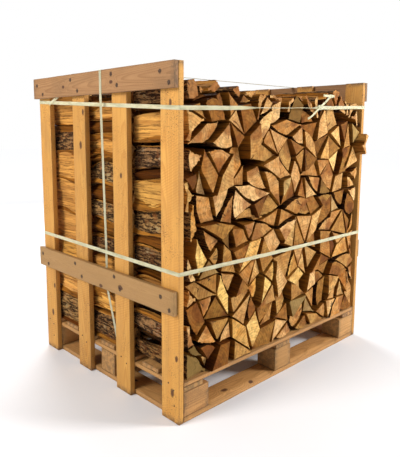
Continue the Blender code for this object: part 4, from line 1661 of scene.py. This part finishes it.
def log_tone(rng, middle, outside, lay, props):
    """How bright and how grey a log's wood is, and its seed: painted shade darkens the upper right, and
    the lower left is paler.
    """
    seed = rng.uniform(0.0, 40.0)
    grey = rng.uniform(0.35, 0.8) if rng.random() < 0.05 else rng.uniform(0.0, 0.12)
    bright = rng.uniform(props.tone_dark, props.tone_light) * (0.55 if rng.random() < 0.24 else 1.0)
    # Painted shade over the upper right of the pile: those logs are darkened by half
    if middle.x > PAINTED_SHADE_CORNER[0] and middle.y > PAINTED_SHADE_CORNER[1]:
        bright *= 0.5
    if lay.seen == FRONT and middle.x < PALE_CORNER[0] and middle.y < PALE_CORNER[1]:
        bright *= 1.18
    if outside:
        bright = min(1.30, max(0.95, bright * 1.30))
        grey *= 0.3
    if lay.slid:
        bright = 1.15
    return bright, grey, seed


def split_log(stack, rng, cell, plays, outside, lay, props):
    """Loft one log between its two ends, with relief on its sides and a sawn face at each end."""
    section = Section(rng, cell, plays, outside, lay, props)
    near = section.outline(section.near)
    far = section.outline(section.far)
    rough = section.roughness()
    middle = sum((point for point, _ in near), Vector((0.0, 0.0))) / len(near)
    pith = section.pith()
    bright, grey, seed = log_tone(rng, middle, outside, lay, props)
    if lay.seen == FRONT and math.dist(middle, ROUND_LOG) < ROUND_LOG_REACH:
        section.kinds = [BARK] * len(section.kinds)
        bright, grey = 0.8, 0.85
    kinds = section.sides()
    tone = (bright, grey, seed)
    # Painted shade: the sides between logs are darker by the gap factor, for the shade that falls
    # between them
    shade = (bright * props.painted_gap_shade, grey, seed)
    limit = math.tan(props.end_tilt) * (0.25 if lay.steady or lay.slid else 1.0)
    tilt = [Vector((rng.uniform(-limit, limit), rng.uniform(-limit, limit))) for _ in range(2)]
    start, end = lay.start, lay.end
    span = end - start
    rings = []
    places = stations(span, lay.seen, bool(outside))
    for number, along in enumerate(places):
        share = along / span
        near_share = share if lay.seen == BACK else 1.0 - share
        ring = []
        at_end = number in (0, len(places) - 1)
        for (a, outward), (b, _), kind, (coarse, _) in zip(near, far, kinds, rough):
            flat = a * near_share + b * (1.0 - near_share)
            y = start + along
            if number < 2:
                y += tilt[0].dot(flat - middle)
            elif number > len(places) - 3:
                y += tilt[1].dot(flat - middle)
            deep = relief((flat.x, start + along, flat.y), kind, coarse, seed, props)
            deep += END_ROUNDING if at_end else 0.0
            flat = flat - outward * deep
            rise = bow(flat.x, start + along, flat.y, lay.front, props)
            ring.append(Vector((flat.x, y, flat.y + rise)))
        # The ends and the open outer sides keep the log's own tone; the sides between logs take the
        # painted shade
        tones = [tone if at_end or is_open else shade for _, is_open in rough]
        rings.append(stack.add(ring, pith, tones))
    total = len(near)
    for first, second in zip(rings, rings[1:]):
        for index in range(total):
            following = (index + 1) % total
            stack.face((first[index], second[index], second[following], first[following]), kinds[index])
    cap_end(stack, rings[0], middle, tilt[0], start, pith, tone, False)
    cap_end(stack, rings[-1], middle, tilt[1], end, pith, tone, True)


def cap_end(stack, ring, middle, lean, y_end, pith, tone, turned):
    """Close a log's end with a slightly rough sawn face."""
    seed = tone[2]
    total = len(ring)
    inner = []
    for number in ring:
        x, _, z = stack.points[number]
        flat = middle + (Vector((x, z)) - middle) * 0.55
        rough = 0.0008 * noise.noise(Vector((flat.x * 60, seed, flat.y * 60)))
        inner.append(Vector((flat.x, y_end + lean.dot(flat - middle) + rough, flat.y)))
    centre = Vector((middle.x, y_end, middle.y))
    inner = stack.add(inner, pith, [tone] * total)
    hub = stack.add([centre], pith, [tone])[0]
    for index in range(total):
        following = (index + 1) % total
        quad = (ring[index], ring[following], inner[following], inner[index])
        fan = (inner[index], inner[following], hub)
        stack.face(quad[::-1] if turned else quad, END)
        stack.face(fan[::-1] if turned else fan, END)


def outer_sides(cells):
    """For each cell, the sides that no other cell shares."""
    shared = {}
    for cell in cells:
        for a, b in pairs_round(cell):
            key = frozenset((a, b))
            shared[key] = shared.get(key, 0) + 1
    outside = []
    for cell in cells:
        pairs = enumerate(pairs_round(cell))
        outside.append([index for index, pair in pairs if shared[frozenset(pair)] == 1])
    return outside


def side_plays(row, corners, cells, props):
    """Space left along each side: least on a log's longest lower side, where it lies on others."""
    resting = set()
    for cell in cells:
        sides = pairs_round(cell)
        resting.add(frozenset(max(sides, key=lambda side: corners[side[1]][0] - corners[side[0]][0])))
    plays = []
    for cell in cells:
        own = []
        for a, b in pairs_round(cell):
            rng = random.Random(f"side {row} {min(a, b)} {max(a, b)}")
            if frozenset((a, b)) in resting:
                own.append(props.play_tight * rng.uniform(0.4, 2.0))
            elif rng.random() < props.loose_share:
                own.append(rng.uniform(props.play_usual, props.play_loose))
            else:
                own.append(rng.uniform(2.4 * props.play_tight, props.play_usual))
        plays.append(own)
    return plays


def sunk_end(rng, shape, props):
    """How much further back than its neighbours a log lies: the small ones most."""
    if polygon_area(shape) < SMALL_END and rng.random() < 0.55:
        return rng.uniform(0.3, 1.0) * props.sunk_most
    return rng.uniform(0.0, 0.35) * props.sunk_most if rng.random() < 0.25 else 0.0


class Row:
    """One row's logs: their cells, and how their sides and ends lie."""

    def __init__(self, name, props):
        self.name = name
        self.props = props
        self.seen = {"front": FRONT, "back": BACK}.get(name, 0)
        self.front = -HALF_DEPTH + LOG_ROWS.index(name) * ROW_PITCH
        self.corners, self.cells = log_sections(name)
        self.loose = slid_log(name, self.corners, self.cells)
        self.courses = assign_courses(self.corners, self.cells, self.loose)
        self.depths = end_depths(name, self.corners, self.cells)
        self.outside = outer_sides(self.cells)
        self.plays = side_plays(name, self.corners, self.cells, props)
        self.rim = set()
        for cell, sides in zip(self.cells, self.outside):
            for index in sides:
                self.rim.update((cell[index], cell[(index + 1) % len(cell)]))

    def add_log(self, stack, number):
        """Put one log in a stack."""
        rng = random.Random(f"log {self.name} {number}")
        corners = [self.corners[i] for i in self.cells[number]]
        cell = [(x - HALF_WIDTH, z) for x, z in corners]
        outside = self.outside[number]
        heights = [max(a[1], b[1]) for a, b in pairs_round(cell)]
        free = [index for index in outside if heights[index] > DECK_TOP + DECK_REACH]
        slid = number == self.loose
        steady = self.seen != 0 and not slid and under_strap(corners, self.name)
        depth = HOLLOW_DEPTH if self.depths[number] is None else self.depths[number]
        if outside:
            depth = min(depth, OUTER_SUNK)
        elif not steady and not slid:
            depth += sunk_end(rng, cell, self.props)
        back = self.front + LOG_LENGTH
        start = self.front + rng.uniform(*END_JITTER)
        end = back - rng.uniform(*END_JITTER)
        behind_strap = STEADY_BACK if steady else 0.0
        if slid:
            shift = self.seen * (SLID_OUT - 0.003)
            start, end = self.front + shift, back + shift
        elif self.seen == FRONT:
            start = self.front + depth + behind_strap
        elif self.seen == BACK:
            end = back - depth - behind_strap
        snug = self.seen == BACK and bool(self.rim.intersection(self.cells[number]))
        plays = [min(SNUG_PLAY, 0.25 * play) if snug else play for play in self.plays[number]]
        lay = Lay(self.front, start, end, self.seen, steady, slid, snug)
        split_log(stack, rng, cell, plays, free, lay, self.props)

    def model(self, piece_name, node, numbers):
        """Model the numbered logs as one mesh that stands for a node."""
        stack = Stack()
        for number in numbers:
            self.add_log(stack, number)
        seat(stack.make(piece_name), "split_wood", node)


def model_firewood(props):
    """Every log of the three rows, one mesh for each packed course and each log that slid out."""
    for name in LOG_ROWS:
        row = Row(name, props)
        for course in range(1, COURSES + 1):
            numbers = [number for number in sorted(row.courses) if row.courses[number] == course - 1]
            row.model(f"firewood_{name}_{course}", f"logs_{name}_{course}", numbers)
        if row.loose is not None:
            row.model(f"firewood_slid_{name}", f"log_slid_{name}", [row.loose])


LIGHTS_AIM = (0.0, 0.0, 0.6)
FLOOR_RADIUS = 26.0
FLOOR_LEVEL = -0.0005


def model_studio(props):
    """A wide pale floor that brightens far out, three large soft lights and the camera."""
    scene = bpy.context.scene
    deselect()
    bpy.ops.mesh.primitive_circle_add(
        vertices=96, radius=FLOOR_RADIUS, fill_type="NGON", location=(0.0, 0.0, FLOOR_LEVEL),
    )
    floor = bpy.context.object
    rename(floor, "studio_floor")
    w, shader = new_material("studio_floor", 0.75)
    place = w.add("ShaderNodeTexCoord").outputs["Object"]
    mottle = w.step(w.noise(place, 3.0, 4.0), 0.3, 0.7, 0.0, 0.05)
    w.feed(shader["Base Color"], w.mix(mottle, props.floor, props.floor_mottle))
    far = w.step(w.size_of(place), 1.6, 7.0, 0.0, 0.72)
    shader["Emission Color"].default_value = (1.0, 1.0, 1.0, 1.0)
    w.feed(shader["Emission Strength"], far)
    floor.data.materials.append(bpy.data.materials["studio_floor"])
    lights = (
        ("key_light", (-4.3, 0.6, 3.0), 2.0, props.key_power, (1.0, 0.97, 0.92)),
        ("front_light", (2.9, -3.7, 2.6), 1.6, props.front_power, (1.0, 0.98, 0.94)),
        ("back_light", (1.5, 3.6, 2.8), 2.6, props.back_power, (1.0, 0.99, 0.98)),
    )
    for name, spot, size, power, tint in lights:
        bpy.ops.object.light_add(type="AREA", location=spot)
        light = bpy.context.object
        light.name = name
        light.data.shape = "DISK"
        light.data.size = size
        light.data.energy = power
        light.data.color = tint
        aim = Vector(LIGHTS_AIM) - Vector(spot)
        light.rotation_euler = aim.to_track_quat("-Z", "Y").to_euler()
    world = bpy.data.worlds.new("studio_world")
    world.use_nodes = True
    sky = world.node_tree.nodes["Background"]
    sky.inputs["Color"].default_value = (1.0, 1.0, 1.0, 1.0)
    w = Wiring(world.node_tree)
    straight = w.add("ShaderNodeLightPath").outputs["Is Camera Ray"]
    w.feed(sky.inputs["Strength"], w.times_plus(straight, 1.0 - props.sky, props.sky))
    scene.world = world
    scene.view_settings.view_transform = "Standard"
    bpy.ops.object.camera_add(location=props.place)
    camera = bpy.context.object
    camera.name = "studio_camera"
    camera.rotation_mode = "YXZ"
    camera.rotation_euler = props.turn
    camera.data.sensor_width = 36.0
    camera.data.lens = props.lens
    camera.data.shift_x, camera.data.shift_y = props.shift
    scene.camera = camera


def board_nodes():
    """Each board's node with its finish slot."""
    pairs = []
    for node in sorted(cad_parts):
        if node.startswith(("base_board", "block", "stringer", "deck_board")):
            pairs.append((node, "pallet_wood"))
        elif node.startswith("upright"):
            pairs.append((node, "upright_wood"))
        elif node.startswith(("top_rail", "middle_rail")):
            pairs.append((node, "rail_wood"))
    return pairs


def model_boards(slot, props):
    """Every board of one finish."""
    for node, own_slot in board_nodes():
        if own_slot == slot:
            model_board(node, slot, props)


class FIREWOOD_OT_pallet(bpy.types.Operator):
    """Model the pallet's base boards, blocks, stringers and deck boards"""

    bl_idname = "firewood.pallet"
    bl_label = "Pallet"

    def execute(self, context):
        model_boards("pallet_wood", context.scene.firewood_boards)
        return {"FINISHED"}


class FIREWOOD_OT_uprights(bpy.types.Operator):
    """Model the uprights of both side walls"""

    bl_idname = "firewood.uprights"
    bl_label = "Uprights"

    def execute(self, context):
        model_boards("upright_wood", context.scene.firewood_boards)
        return {"FINISHED"}


class FIREWOOD_OT_rails(bpy.types.Operator):
    """Model the top and middle rails of both side walls"""

    bl_idname = "firewood.rails"
    bl_label = "Rails"

    def execute(self, context):
        model_boards("rail_wood", context.scene.firewood_boards)
        return {"FINISHED"}


class FIREWOOD_OT_nails(bpy.types.Operator):
    """Model the nail heads of both side walls"""

    bl_idname = "firewood.nails"
    bl_label = "Nails"

    def execute(self, context):
        for side in ("left", "right"):
            model_nails(side, context.scene.firewood_boards)
        return {"FINISHED"}


class FIREWOOD_OT_straps(bpy.types.Operator):
    """Model the level straps and the cross strap"""

    bl_idname = "firewood.straps"
    bl_label = "Straps"

    def execute(self, context):
        model_straps(context.scene.firewood_straps)
        return {"FINISHED"}


class FIREWOOD_OT_logs(bpy.types.Operator):
    """Model every split log of the three rows"""

    bl_idname = "firewood.logs"
    bl_label = "Logs"

    def execute(self, context):
        model_firewood(context.scene.firewood_logs)
        return {"FINISHED"}


class FIREWOOD_OT_studio(bpy.types.Operator):
    """Set up the floor, the lights and the camera"""

    bl_idname = "firewood.studio"
    bl_label = "Studio"

    def execute(self, context):
        model_studio(context.scene.firewood_studio)
        return {"FINISHED"}


OPERATORS = (
    FIREWOOD_OT_studio,
    FIREWOOD_OT_pallet,
    FIREWOOD_OT_uprights,
    FIREWOOD_OT_rails,
    FIREWOOD_OT_nails,
    FIREWOOD_OT_straps,
    FIREWOOD_OT_logs,
)


class FIREWOOD_PT_panel(bpy.types.Panel):
    """Lists what the script models, in order"""

    bl_label = "Pallet of firewood"
    bl_idname = "FIREWOOD_PT_panel"
    bl_space_type = "VIEW_3D"
    bl_region_type = "UI"
    bl_category = "Firewood"

    def draw(self, context):
        for operator in OPERATORS:
            self.layout.operator(operator.bl_idname)


GROUPS = {
    "firewood_logs": LogSettings,
    "firewood_boards": BoardSettings,
    "firewood_straps": StrapSettings,
    "firewood_studio": StudioSettings,
}


def register():
    """Make the settings, operators and panel known to Blender."""
    for group in GROUPS.values():
        bpy.utils.register_class(group)
    for name, group in GROUPS.items():
        setattr(bpy.types.Scene, name, PointerProperty(type=group))
    for operator in OPERATORS:
        bpy.utils.register_class(operator)
    bpy.utils.register_class(FIREWOOD_PT_panel)


def unregister():
    """Take them out again."""
    bpy.utils.unregister_class(FIREWOOD_PT_panel)
    for operator in reversed(OPERATORS):
        bpy.utils.unregister_class(operator)
    for name, group in reversed(GROUPS.items()):
        delattr(bpy.types.Scene, name)
        bpy.utils.unregister_class(group)


def main():
    """Model everything in order."""
    register()
    for operator in OPERATORS:
        name = operator.bl_idname.split(".")[1]
        getattr(bpy.ops.firewood, name)()


if __name__ == "__main__":
    main()
